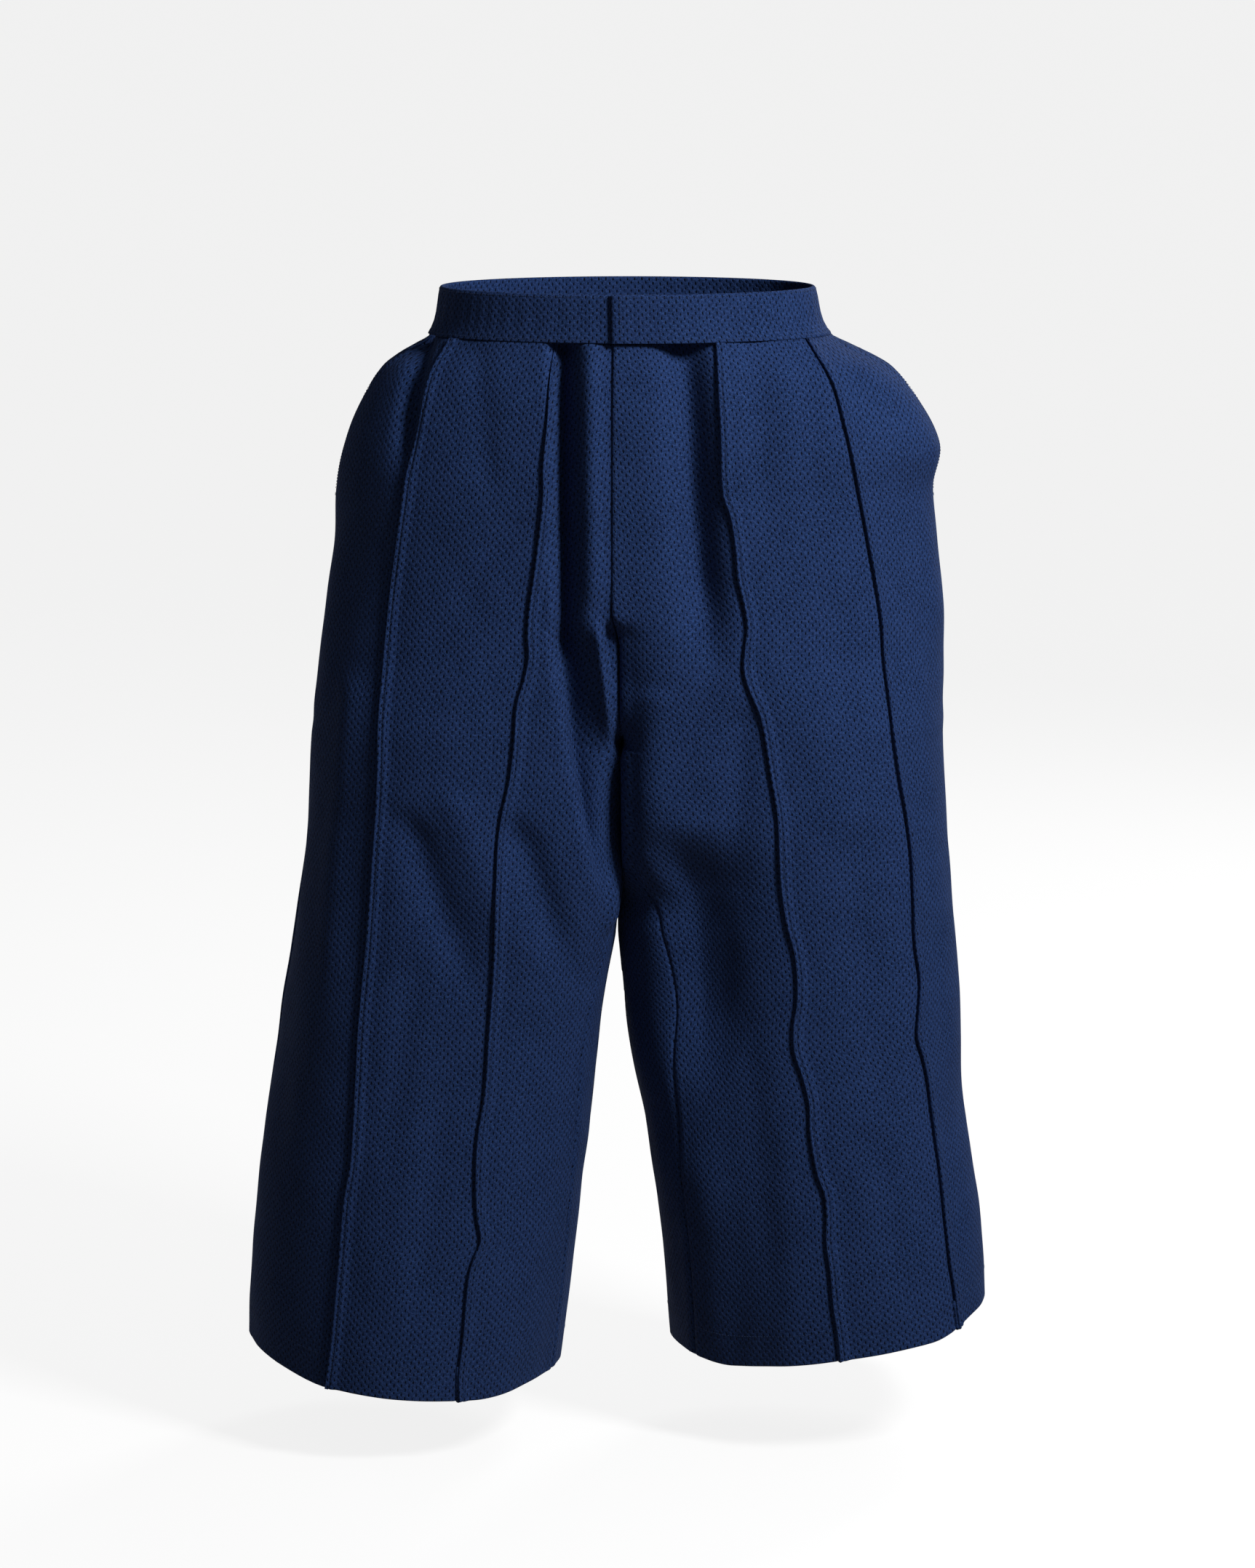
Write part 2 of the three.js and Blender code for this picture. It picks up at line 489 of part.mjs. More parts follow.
// ---- waistband ----------------------------------------------------------------------------------------
// A strip that starts under the fly, runs once round the waist and laps over its own start.
const BAND_STEPS = 60;
const BAND_EASE = 0.4;          // turn over which the outer end eases outwards, in radians

function bandPoint(turn, z) {
  const halfWidth = (readTable(OUTLINE, 'outL', z) - readTable(OUTLINE, 'outR', z)) / 2;
  const middleX = (readTable(OUTLINE, 'outL', z) + readTable(OUTLINE, 'outR', z)) / 2;
  const halfDepth = readTable(OUTLINE, 'back', z);
  const steepX = -Math.sin(turn) / halfWidth;
  const steepY = -Math.cos(turn) / halfDepth;
  const size = Math.hypot(steepX, steepY);
  return {
    x: middleX - halfWidth * Math.sin(turn),
    y: -halfDepth * Math.cos(turn),
    normalX: steepX / size,
    normalY: steepY / size,
  };
}

function bandGeometry() {
  const halfWidth = OUTLINE[0].outL;
  const start = -Math.asin((FLY_X + BAND_LAP) / halfWidth);
  const end = 2 * Math.PI - Math.asin(FLY_X / halfWidth);
  const easeStart = 2 * Math.PI + start - BAND_EASE;
  const levels = [0, -BAND_HEIGHT / 2, -BAND_HEIGHT + SEAM_GAP];
  const rows = levels.map((z) => Array.from({ length: BAND_STEPS + 1 }, (_, i) => {
    const turn = mix(start, end, i / BAND_STEPS);
    const ease = smooth((turn - easeStart) / (BAND_EASE * 0.8));
    const lift = BAND_PROUD + (BAND_THICKNESS + 2 * SEAM_GAP) * ease;
    const point = bandPoint(turn, z);
    const place = (rise) => (
      new THREE.Vector3(point.x + point.normalX * rise, point.y + point.normalY * rise, z));
    return { outside: place(lift), inside: place(lift - BAND_THICKNESS) };
  }));
  return wallGeometry(rows, true);
}

// ---- pocket bags --------------------------------------------------------------------------------------
// Point under the cloth at a side seam: forward along the front or back along the back, and deep inside.
function underCloth(leg, forward, deep, z) {
  const face = forward >= 0 ? 'front' : 'back';
  const point = pointAtLength(leg, face, z, Math.abs(forward));
  const rise = foldRise(face, leg, point.x, z) - deep;
  return new THREE.Vector3(point.x + point.normalX * rise, point.y + point.normalY * rise, z);
}

// One ring of a bag, square to the bag's own run inwards and forwards.
function bagRing(leg, k, inset) {
  const ring = BAG_RINGS[k];
  const before = BAG_RINGS[Math.max(k - 1, 0)];
  const after = BAG_RINGS[Math.min(k + 1, BAG_RINGS.length - 1)];
  const run = Math.hypot(after.forward - before.forward, after.deep - before.deep);
  const towardsFront = (after.deep - before.deep) / run;
  const towardsCloth = -(after.forward - before.forward) / run;
  return Array.from({ length: BAG_SIDES }, (_, i) => {
    const turn = 2 * Math.PI * i / BAG_SIDES;
    const aside = (ring.thick - inset) * Math.cos(turn);
    const up = (ring.tall - inset) * Math.sin(turn);
    const forward = ring.forward + towardsFront * aside;
    const deep = ring.deep + towardsCloth * aside;
    return underCloth(leg, forward, deep, ring.z + up);
  });
}

function bagGeometry(leg) {
  const last = BAG_RINGS.length - 1;
  const end = BAG_RINGS[last];
  const closing = { outside: 6, inside: 4 };
  const positions = [];
  const faces = [];
  const quad = (a, b, c, d) => (leg === 'R' ? faces.push(a, b, c, a, c, d) : faces.push(a, c, b, a, d, c));
  const at = (layer, k, i) => (layer * (last + 1) + k) * BAG_SIDES + (i % BAG_SIDES);
  for (const inset of [0, BAG_CLOTH]) {
    for (let k = 0; k <= last; k += 1) {
      for (const point of bagRing(leg, k, inset)) positions.push(...point.toArray());
    }
  }
  const tips = [positions.length / 3, positions.length / 3 + 1];
  positions.push(...underCloth(leg, end.forward + closing.outside, end.deep, end.z).toArray());
  positions.push(...underCloth(leg, end.forward + closing.inside, end.deep, end.z).toArray());
  for (let i = 0; i < BAG_SIDES; i += 1) {
    for (let k = 0; k < last; k += 1) {
      quad(at(0, k, i), at(0, k + 1, i), at(0, k + 1, i + 1), at(0, k, i + 1));
      quad(at(1, k, i), at(1, k, i + 1), at(1, k + 1, i + 1), at(1, k + 1, i));
    }
    quad(at(0, 0, i), at(0, 0, i + 1), at(1, 0, i + 1), at(1, 0, i));
    const [a, b] = leg === 'R' ? [i, i + 1] : [i + 1, i];
    faces.push(at(0, last, a), tips[0], at(0, last, b));
    faces.push(at(1, last, b), tips[1], at(1, last, a));
  }
  const geometry = new THREE.BufferGeometry();
  geometry.setAttribute('position', new THREE.Float32BufferAttribute(positions, 3));
  geometry.setIndex(faces);
  return geometry;
}

// ---- the trousers -------------------------------------------------------------------------------------
const cloth = new THREE.MeshStandardMaterial({ color: INDIGO, roughness: 0.95, metalness: 0 });
const bagCloth = new THREE.MeshStandardMaterial({ color: BAG_INDIGO, roughness: 0.95, metalness: 0 });

const trousers = new THREE.Group();
function addPiece(name, geometry, material) {
  geometry.computeVertexNormals();
  const mesh = new THREE.Mesh(geometry, material);
  mesh.name = name;
  trousers.add(mesh);
}

for (const [leg, side] of [['R', 'right'], ['L', 'left']]) {
  addPiece(`front_${side}`, panelGeometry(leg, 'front'), cloth);
  addPiece(`back_${side}`, panelGeometry(leg, 'back'), cloth);
  addPiece(`pocket_bag_${side}`, bagGeometry(leg), bagCloth);
}
addPiece('waistband', bandGeometry(), cloth);

export default trousers;
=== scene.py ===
"""Wide indigo samue trousers, worn and hollow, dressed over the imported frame.

Lengths in the tables are millimetres; every mesh is made in metres. The wearer's right is at -X and the
front faces -Y. Each panel is one sheet of cloth laid over the garment's form, with its folds, pintucks,
seams and hem in its geometry and its weave in its material.
"""
import math

import bmesh
import bpy
import numpy as np
from mathutils import Matrix, Vector, noise


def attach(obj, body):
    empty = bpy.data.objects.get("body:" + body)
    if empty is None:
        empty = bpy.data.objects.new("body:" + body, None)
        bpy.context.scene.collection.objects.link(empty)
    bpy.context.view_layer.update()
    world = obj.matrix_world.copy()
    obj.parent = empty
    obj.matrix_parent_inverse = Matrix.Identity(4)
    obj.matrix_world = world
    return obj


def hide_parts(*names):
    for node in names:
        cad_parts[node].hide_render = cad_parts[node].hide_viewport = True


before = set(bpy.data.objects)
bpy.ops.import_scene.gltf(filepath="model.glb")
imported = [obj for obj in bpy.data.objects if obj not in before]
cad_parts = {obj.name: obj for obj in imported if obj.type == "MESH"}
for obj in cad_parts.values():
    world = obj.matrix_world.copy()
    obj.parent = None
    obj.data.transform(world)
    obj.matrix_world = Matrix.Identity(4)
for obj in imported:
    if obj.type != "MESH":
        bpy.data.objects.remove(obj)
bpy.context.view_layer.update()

MM = 0.001
INWARDS = {"R": 1, "L": -1}     # the way from a leg's side seam to its inner edge, along X

# ---- sizes shared with the solids ------------------------------------------------------------------
SEAM_GAP = 0.04             # the dressed cloth closes the solids' seams
BAND_HEIGHT = 45
BAND_THICKNESS = 3.6
BAND_PROUD = 1.0            # how far the band stands off the outline
BAND_LAP = 42
BAND_EASE = 0.4             # turn in radians over which the band's outer end rises over its inner one
CROTCH_Z = -427
FLY_X = -15
FLY_SHIFT = -6              # how far the fly's edge lies to the wearer's right of the centre seam
FLY_FOOT = -290
FLY_RETURN = 40             # length below the foot over which the edge comes back to the centre seam
FLY_SINK = 3.9              # how far the right front lies under the fly
SINK_ASIDE = {"start": 24, "over": 20}      # it begins to sink this far beside the fly's line
SINK_BELOW = {"start": 60, "over": 50}      # and from this far below the fly's foot upwards
UNDERLAP = 13               # how far the right front runs on under the fly
UNDERLAP_START = {"start": 2, "over": 24}   # height above the fly's foot where it begins, and its growth
POCKET_TOP = -56
POCKET_FOOT = -196
POCKET_GAPE = 9             # how far each lip stands off the seam line
POCKET_ROUND = 0.8          # under 1, a mouth opens quickly at its ends
POCKET_OPENED = 3           # gape at which the edge has turned fully from a sewn seam into a lip
HEM = {"R": {"inner": -1052, "rise": 0.076, "corner": 12, "reach": 80},
       "L": {"inner": -1034, "rise": 0.16, "corner": 12, "reach": 55}}
HEM_LEVEL = -1040
HEM_START = -600

# ---- sizes of the dressed cloth --------------------------------------------------------------------
CLOTH = 1.5                 # thickness of one layer
HEM_TURN = 33               # depth of the turned-up hem
ROW_STEP = 3.4              # height of a mesh row
CROTCH_STEP = 1.6           # and near the crotch, where the centre seam turns under
CROTCH_ROWS = (-6, 30)      # heights from the crotch between which rows are that close
WAIST_SLIT = 0.25           # between the waistband and the panels' top edges
STITCH_PITCH = 3.1
STITCH_LENGTH = 2.3
STITCH_WIDTH = 0.34
STITCH_FLATNESS = 0.75      # a stitch's height to its width
STITCH_RISE = {"hem": 0.1, "edge": 0.15, "bar": 0.35, "band": 0.1}      # of its middle over the cloth
WELD = 0.05                 # points of a pocket bag nearer than this are one


def table(columns, *rows):
    """A small table as one dictionary for each row."""
    names = columns.split()
    return [dict(zip(names, row)) for row in rows]


# Outline of the worn trousers: x of the side seams, and the form's limits in y.
OUTLINE = table(
    "z outR outL frontR frontL back",
    (0, -176, 176, -112, -112, 112),
    (-45, -188, 192, -114, -114, 114),
    (-75, -229, 246, -121, -121, 123),
    (-107, -252, 275, -126, -126, 130),
    (-150, -269, 296, -129, -129, 136),
    (-190, -276, 290, -130, -130, 139),
    (-240, -279, 294, -131, -131, 140),
    (-300, -288, 300, -133, -133, 138),
    (-340, -293, 300, -134, -134, 136),
    (-370, -297, 301, -135, -135, 135),
    (-395, -300, 301, -136, -136, 134),
    (-412, -301, 302, -137, -137, 133),
    (-427, -303, 302, -137, -137, 132),
    (-520, -309, 308, -139, -139, 129),
    (-610, -322, 315, -141, -140, 127),
    (-680, -333, 320, -144, -141, 124),
    (-740, -340, 322, -147, -142, 123),
    (-800, -349, 324, -151, -144, 123),
    (-860, -357, 331, -155, -146, 124),
    (-940, -365, 341, -163, -149, 130),
    (-1000, -369, 345, -169, -151, 132),
    (-1052, -370, 347, -174, -152, 134),
)

# How the hips part into legs: share of an own oval; x of each leg's inner edge and of the plane between
# the legs, at y = 0; how much that plane leans; and how full the oval's corners are, 2 for an ellipse.
LEGS = table(
    "z splitR splitL inR inL middle lean outerR innerR outerL innerL",
    (-45, 0, 0, -1.4, 2.6, 0.6, 0.07, 2.0, 2.0, 2.0, 2.0),
    (-75, 0.05, 0.03, -1.4, 2.6, 0.6, 0.07, 2.1, 2.1, 2.1, 2.1),
    (-107, 0.09, 0.05, -1.4, 2.6, 0.6, 0.07, 2.15, 2.15, 2.15, 2.15),
    (-190, 0.18, 0.1, -1.4, 2.6, 0.6, 0.07, 2.2, 2.2, 2.2, 2.2),
    (-240, 0.26, 0.14, -1.4, 2.6, 0.6, 0.07, 2.2, 2.2, 2.2, 2.2),
    (-300, 0.39, 0.24, -1.4, 2.6, 0.6, 0.07, 2.2, 2.3, 2.2, 2.3),
    (-340, 0.6, 0.5, -1.4, 2.6, 0.6, 0.07, 2.2, 2.6, 2.2, 2.6),
    (-370, 0.79, 0.74, -1.4, 2.6, 0.6, 0.07, 2.2, 3.1, 2.2, 3.1),
    (-395, 0.91, 0.9, -1.4, 2.6, 0.6, 0.07, 2.2, 3.8, 2.2, 3.8),
    (-412, 0.97, 0.97, -1.4, 2.6, 0.6, 0.07, 2.2, 4.5, 2.2, 4.5),
    (-427, 1, 1, 0.4, 0.8, 0.6, 0.07, 2.2, 5.2, 2.2, 5.2),
    (-520, 1, 1, 0.3, 0.7, 0.5, 0.06, 2.2, 7.0, 2.25, 5.6),
    (-570, 1, 1, -3.2, -2.8, -3.0, 0.05, 2.2, 5.0, 2.3, 3.0),
    (-610, 1, 1, -9.9, -9.4, -9.65, 0.03, 2.2, 4.0, 2.3, 2.45),
    (-680, 1, 1, -23, -3, -13, 0, 2.15, 3.0, 2.35, 2.4),
    (-740, 1, 1, -31, 4, -13, 0, 2.1, 2.7, 2.4, 2.55),
    (-800, 1, 1, -37, 15, -11, 0, 2.05, 2.5, 2.5, 2.45),
    (-860, 1, 1, -44, 23, -10, 0, 2.0, 2.35, 2.6, 2.35),
    (-940, 1, 1, -52, 34, -9, 0, 1.85, 2.15, 2.8, 2.1),
    (-1052, 1, 1, -67, 43, -12, 0, 1.7, 2.0, 3.0, 1.9),
)

# How far each inseam lies in front of its leg's inner edge.
INSEAMS = table(
    "z seamR seamL",
    (-427, 0, 0),
    (-470, 26, 34),
    (-540, 66, 88),
    (-620, 82, 108),
    (-740, 80, 104),
    (-860, 64, 94),
    (-1052, 50, 74),
)

# Where each pintuck's folded edge runs, with the wander of a line that was sewn by hand and worn.
TUCKS = {
    "outerR": table(
        "z x", (-45, -164), (-77, -183), (-106, -191), (-137, -198), (-172, -205), (-214, -211),
        (-248, -216), (-282, -221), (-339, -227), (-397, -232), (-449, -233), (-529, -238),
        (-603, -244), (-684, -252), (-735, -255), (-813, -260), (-859, -268), (-927, -274),
        (-1001, -281), (-1050, -287)),
    "innerR": table(
        "z x", (-45, -69), (-80, -72), (-118, -74), (-157, -78), (-183, -78), (-230, -83), (-261, -87),
        (-287, -91), (-313, -93), (-334, -92), (-355, -96), (-379, -103), (-415, -106), (-449, -110),
        (-481, -117), (-507, -121), (-550, -123), (-627, -126), (-694, -131), (-748, -135),
        (-790, -142), (-832, -144), (-864, -143), (-886, -140), (-902, -146), (-919, -151),
        (-946, -154), (-982, -157), (-1018, -161), (-1056, -160)),
    "innerL": table(
        "z x", (-45, 82), (-93, 84), (-131, 86), (-183, 88), (-204, 95), (-235, 100), (-261, 102),
        (-287, 108), (-308, 111), (-326, 109), (-347, 108), (-365, 113), (-392, 124), (-449, 134),
        (-486, 140), (-529, 142), (-555, 144), (-587, 149), (-614, 156), (-640, 159), (-668, 159),
        (-689, 156), (-716, 157), (-743, 165), (-770, 171), (-799, 172), (-842, 179), (-864, 186),
        (-886, 188), (-914, 188), (-946, 192), (-982, 195), (-1010, 199), (-1050, 203)),
    "outerL": table(
        "z x", (-45, 166), (-80, 188), (-124, 201), (-157, 209), (-188, 215), (-219, 221), (-261, 229),
        (-303, 236), (-339, 239), (-392, 246), (-412, 248), (-454, 254), (-488, 260), (-529, 265),
        (-571, 267), (-614, 269), (-652, 274), (-684, 273), (-711, 272), (-735, 278), (-762, 283),
        (-799, 288), (-859, 296), (-914, 302), (-963, 307), (-985, 310), (-1050, 317)),
}

# A pintuck across its width: distance from its folded edge towards +X, and how far the cloth is raised.
# The fold lies flat towards -X, so its edge stands over a narrow slot, and its stitching sinks a little.
TUCK_PROFILE = table(
    "across rise", (-5, 0), (-2.6, -0.5), (-1.2, -0.9), (0.4, -0.9), (0.75, 0), (0.1, 0.9), (-0.35, 1.9),
    (-0.3, 3.0), (0.1, 3.9), (0.8, 4.2), (1.8, 3.7), (2.8, 2.9), (3.5, 2.1), (4.1, 2.5), (4.9, 2.7),
    (6.2, 2.4), (7.4, 1.8), (8.8, 0.95), (10.6, 0.25), (13, 0))
TUCK_STITCH = {"across": 3.5, "rise": 2.35}
# A panel's edge across its width: distance from the seam line inwards, and how far the cloth lies under
# the panel's outer side. The last row stands for the width of cloth that is turned under.
EDGE_PROFILE = table(
    "aside under", (3.2, 0), (1.7, 0.12), (0.8, 0.5), (0.25, 1.1), (0.06, 1.7), (0.3, 2.4), (0.9, 2.9),
    (2.4, 3.05), (1, 3.05))
TURNED_UNDER = 4            # along seams
TURNED_POCKET = 16          # at the pocket mouths
TURNED_FLY = 34             # along the fly

# Folds, each along a line from its head to its foot. depth < 0 is a trough; left and right are the
# distances from the middle to where it has nearly faded; fade is the length over which its foot runs out.
FOLD_COLUMNS = "leg headX headZ footX footZ left right depth fade"
FRONT_FOLDS = table(
    FOLD_COLUMNS,
    ("R", -64, -50, -60, -330, 11, 27, -20, 37),
    ("R", -60, -330, -12, -590, 14, 36, -25, 110),
    ("R", -32, -55, -30, -300, 20, 20, 5, 40),
    ("R", -196, -46, -212, -175, 12, 18, -13, 60),
    ("R", -198, -510, -132, -690, 34, 34, -8, 120),
    ("R", -160, -480, -100, -640, 30, 30, 4, 100),
    ("R", -96, -515, -36, -690, 30, 30, -8, 120),
    ("R", -262, -380, -290, -700, 18, 18, 4, 90),
    ("L", 54, -50, 76, -370, 34, 32, -25, 110),
    ("L", 26, -380, 22, -520, 34, 34, 5, 60),
    ("L", 56, -560, 76, -860, 62, 95, -31, 210),
    ("L", 100, -860, 124, -1500, 50, 75, -9, 400),
    ("L", 118, -60, 128, -250, 30, 30, -5, 90),
    ("L", 215, -520, 236, -800, 34, 34, -4, 110),
)
BACK_FOLDS = table(
    FOLD_COLUMNS,
    ("R", -44, -46, -58, -260, 24, 24, -9, 90),
    ("R", -118, -46, -150, -330, 26, 26, -10, 120),
    ("R", -70, -470, -130, -760, 44, 44, -9, 120),
    ("R", -205, -420, -240, -900, 44, 44, -7, 160),
    ("L", 42, -46, 52, -270, 24, 24, -10, 90),
    ("L", 110, -46, 146, -350, 28, 28, -9, 120),
    ("L", 62, -470, 120, -780, 44, 44, -9, 120),
    ("L", 198, -430, 226, -880, 44, 44, -7, 160),
)
# Lesser creases, which only the dressed cloth has.
FRONT_CREASES = table(
    FOLD_COLUMNS,
    ("R", -66, -50, -61, -360, 7, 12, -7, 60),
    ("R", -140, -60, -128, -210, 22, 22, -2.4, 60),
    ("R", -110, -215, -176, -330, 26, 26, -2.2, 60),
    ("R", -27, -318, -10, -470, 10, 7, 6, 70),
    ("R", -18, -320, -8, -420, 5, 42, -15, 70),
    ("R", -205, -640, -228, -860, 26, 26, -2.5, 90),
    ("R", -90, -700, -104, -960, 30, 30, -2.6, 120),
    ("R", -318, -520, -340, -900, 20, 20, -2.4, 140),
    ("R", -176, -760, -204, -1000, 22, 22, -1.8, 90),
    ("L", 170, -70, 178, -240, 24, 24, -2.6, 70),
    ("L", -18, -320, -8, -420, 5, 42, -15, 70),
    ("L", 108, -400, 96, -560, 24, 24, -3, 70),
    ("L", 196, -300, 214, -470, 24, 24, -2.2, 80),
    ("L", 118, -740, 136, -990, 28, 28, -2.4, 120),
    ("L", 288, -620, 322, -900, 22, 22, -2.6, 120),
    ("L", 240, -820, 262, -1000, 22, 22, -2, 80),
)
BACK_CREASES = table(
    FOLD_COLUMNS,
    ("R", -186, -60, -206, -260, 22, 22, -4, 80),
    ("R", -80, -120, -84, -340, 22, 22, -3, 100),
    ("R", -14, -330, -86, -470, 24, 24, -4, 60),
    ("R", -160, -560, -178, -820, 26, 26, -3, 120),
    ("R", -290, -520, -320, -860, 26, 26, -3, 140),
    ("L", 176, -60, 196, -280, 22, 22, -4, 80),
    ("L", 76, -130, 90, -330, 22, 22, -3, 100),
    ("L", 26, -330, 92, -470, 24, 24, -4, 60),
    ("L", 150, -540, 168, -830, 26, 26, -3, 120),
    ("L", 276, -500, 300, -880, 26, 26, -3, 140),
)


# ---- small mathematics -----------------------------------------------------------------------------
def smooth(share):
    t = np.clip(share, 0, 1)
    return t * t * (3 - 2 * t)


def mix(start, end, share):
    return start + (end - start) * share


def read(rows, column, z):
    """A column of a table at a height, along a smooth curve through its rows, which run downwards."""
    last = len(rows) - 1
    if z >= rows[0]["z"]:
        return rows[0][column]
    if z <= rows[last]["z"]:
        return rows[last][column]
    i = 0
    while rows[i + 1]["z"] > z:
        i += 1

    def slope(k):
        above, below = rows[max(k - 1, 0)], rows[min(k + 1, last)]
        return (below[column] - above[column]) / (below["z"] - above["z"])

    span = rows[i + 1]["z"] - rows[i]["z"]
    t = (z - rows[i]["z"]) / span
    return (
        (2 * t**3 - 3 * t**2 + 1) * rows[i][column]
        + (t**3 - 2 * t**2 + t) * slope(i) * span
        + (3 * t**2 - 2 * t**3) * rows[i + 1][column]
        + (t**3 - t**2) * slope(i + 1) * span
    )


def run_along(points):
    """Length from the first point to each point of a line."""
    return np.concatenate([[0], np.cumsum(np.linalg.norm(np.diff(points, axis=0), axis=1))])


# ---- the form under the cloth ----------------------------------------------------------------------
OUTLINE_STEPS = 240
LEAN_START = 0.2            # a leg takes up the lean from here inwards, in half widths outside its middle
outline_store = {}


def seam_x(z, face, y):
    """x of the centre seams and of the plane between the legs, and above its foot of the fly's free edge."""
    fly = FLY_SHIFT * smooth((z - FLY_FOOT + FLY_RETURN) / FLY_RETURN) if face == "front" else 0
    return read(LEGS, "middle", z) + read(LEGS, "lean", z) * y + fly


def half_outline(leg, face, z):
    """One leg's outline on one face, from its side seam to its inner edge."""
    other = "L" if leg == "R" else "R"
    outer, far = read(OUTLINE, "out" + leg, z), read(OUTLINE, "out" + other, z)
    inner = mix(far, read(LEGS, "in" + leg, z), read(LEGS, "split" + leg, z))
    front, back = read(OUTLINE, "front" + leg, z), read(OUTLINE, "back", z)
    side = -INWARDS[leg]
    facing = -1 if face == "front" else 1
    middle_x, half_width = (outer + inner) / 2, abs(outer - inner) / 2
    middle_y, half_depth = (front + back) / 2, (back - front) / 2
    turn = np.linspace(0, math.pi, OUTLINE_STEPS + 1)
    inner_half = turn > math.pi / 2
    power = np.where(inner_half, 2 / read(LEGS, "inner" + leg, z), 2 / read(LEGS, "outer" + leg, z))
    cosine, sine = np.cos(turn), np.clip(np.sin(turn), 0, 1)
    across = np.sign(cosine) * np.abs(cosine) ** power
    out = sine**power
    x = middle_x + side * half_width * across
    y = middle_y + facing * half_depth * out
    steep_x = side * np.sign(across) * np.abs(across) ** (2 / power - 1) / half_width
    steep_y = facing * out ** (2 / power - 1) / half_depth
    lean = read(LEGS, "lean", z) * smooth((LEAN_START - across) / (1 + LEAN_START))
    x, steep_y = x + lean * y, steep_y - lean * steep_x
    size = np.hypot(steep_x, steep_y)
    length = np.concatenate([[0], np.cumsum(np.hypot(np.diff(x), np.diff(y)))])
    return x, y, steep_x / size, steep_y / size, length


def outline(leg, face, z):
    """As half_outline, but a back runs on past the leg's inner edge onto its front."""
    key = (leg, face, round(float(z), 4))
    if key not in outline_store:
        if face == "front":
            outline_store[key] = (*half_outline(leg, face, z), None)
        else:
            back, front = half_outline(leg, "back", z), half_outline(leg, "front", z)
            joined = [np.concatenate([b, f[::-1][1:]]) for b, f in zip(back[:4], front[:4])]
            length = np.concatenate([back[4], back[4][-1] + (front[4][-1] - front[4][::-1])[1:]])
            outline_store[key] = (*joined, length, back[4][-1])
    return outline_store[key]


def whole_length(leg, face, z):
    row = outline(leg, face, z)
    return row[4][-1] if row[5] is None else row[5]


def own_half(leg, face, z):
    """The part of an outline between the side seam and the leg's inner edge: x, y and lengths."""
    row = outline(leg, face, z)
    return [row[k][:OUTLINE_STEPS + 1] for k in (0, 1, 4)]


def length_at_x(leg, face, z, x):
    row_x, _, lengths = own_half(leg, face, z)
    return float(np.interp(x * INWARDS[leg], row_x * INWARDS[leg], lengths))


# ---- what raises and sinks the cloth ---------------------------------------------------------------
BELL = 0.6                  # width of a fold's bell curve, as a share of its left or right distance


def fold_rise(rows, leg, x, z):
    rise = np.zeros_like(x)
    for row in rows:
        if row["leg"] != leg:
            continue
        share = (z - row["headZ"]) / (row["footZ"] - row["headZ"])
        away = x - mix(row["headX"], row["footX"], share)
        away = away / (BELL * np.where(away < 0, row["left"], row["right"]))
        run_in = row["fade"] / 3
        head = smooth((row["headZ"] + run_in - z) / run_in)
        foot = smooth((z - row["footZ"]) / row["fade"])
        rise += row["depth"] * np.exp(-away * away) * head * foot
    return rise


def under_fly(leg, x, z):
    """The right front sinks under the fly, and comes back below its foot."""
    if leg != "R":
        return 0
    beside = smooth((x - FLY_X + SINK_ASIDE["start"]) / SINK_ASIDE["over"])
    below = smooth((z - FLY_FOOT + SINK_BELOW["start"]) / SINK_BELOW["over"])
    return -FLY_SINK * beside * below


GATHER_WAVE = 21            # width of one gather under the band
GATHER_RISE = 4.0
GATHER_REACH = 75           # how far down they fade out
GATHER_RUN_IN = 6           # they have their full depth a sixth of the way down
GATHER_ON_FRONT = {"width": 12, "fade": 24}     # how far from its side seam a front is gathered


def gathers(face, length, z):
    """Small gathers under the waistband: all over the backs, and beside the side seams on the fronts."""
    down = (-BAND_HEIGHT - z) / GATHER_REACH
    strength = smooth(down * GATHER_RUN_IN) * (1 - smooth(down))
    if face == "front":
        past = (length - GATHER_ON_FRONT["width"]) / GATHER_ON_FRONT["fade"]
        strength = strength * (1 - smooth(past))
    wander = 2.1 * np.sin(length / 37.0) + 1.3 * np.sin(length / 17.3 + 1.7)
    return GATHER_RISE * strength * np.cos(2 * math.pi * length / GATHER_WAVE + wander)


# The soft unevenness of worn cloth: broad waves that run down it, and slight dents.
SLACK = table(
    "width height rise shift",
    (70, 210, 2.6, 0),
    (26, 48, 0.8, 9),
)
SLACK_RUN_IN = 30           # height below the band over which it sets in


def slack(x, y, z):
    values = np.zeros_like(x)
    for row in SLACK:
        width, level = row["width"], z / row["height"] + row["shift"]
        for i, (px, py) in enumerate(zip(x, y)):
            values[i] += row["rise"] * noise.noise(Vector((px / width, py / width, level)))
    return values * smooth((-BAND_HEIGHT - z) / SLACK_RUN_IN)


SEAM_VALLEY = {"depth": 1.0, "width": 2.2}
SEAM_BANK = {"rise": 0.5, "aside": 7, "width": 4.0}


def seam_roll(distance):
    """Cloth turns in at a seam, so a sewn line is a narrow valley with slightly full banks."""
    valley = -SEAM_VALLEY["depth"] * np.exp(-((distance / SEAM_VALLEY["width"]) ** 2))
    bank = np.exp(-(((distance - SEAM_BANK["aside"]) / SEAM_BANK["width"]) ** 2))
    return valley + SEAM_BANK["rise"] * bank


# ---- panels ----------------------------------------------------------------------------------------
def pocket_gape(z):
    share = min(max((POCKET_TOP - z) / (POCKET_TOP - POCKET_FOOT), 0), 1)
    return POCKET_GAPE * math.sin(math.pi * share) ** POCKET_ROUND


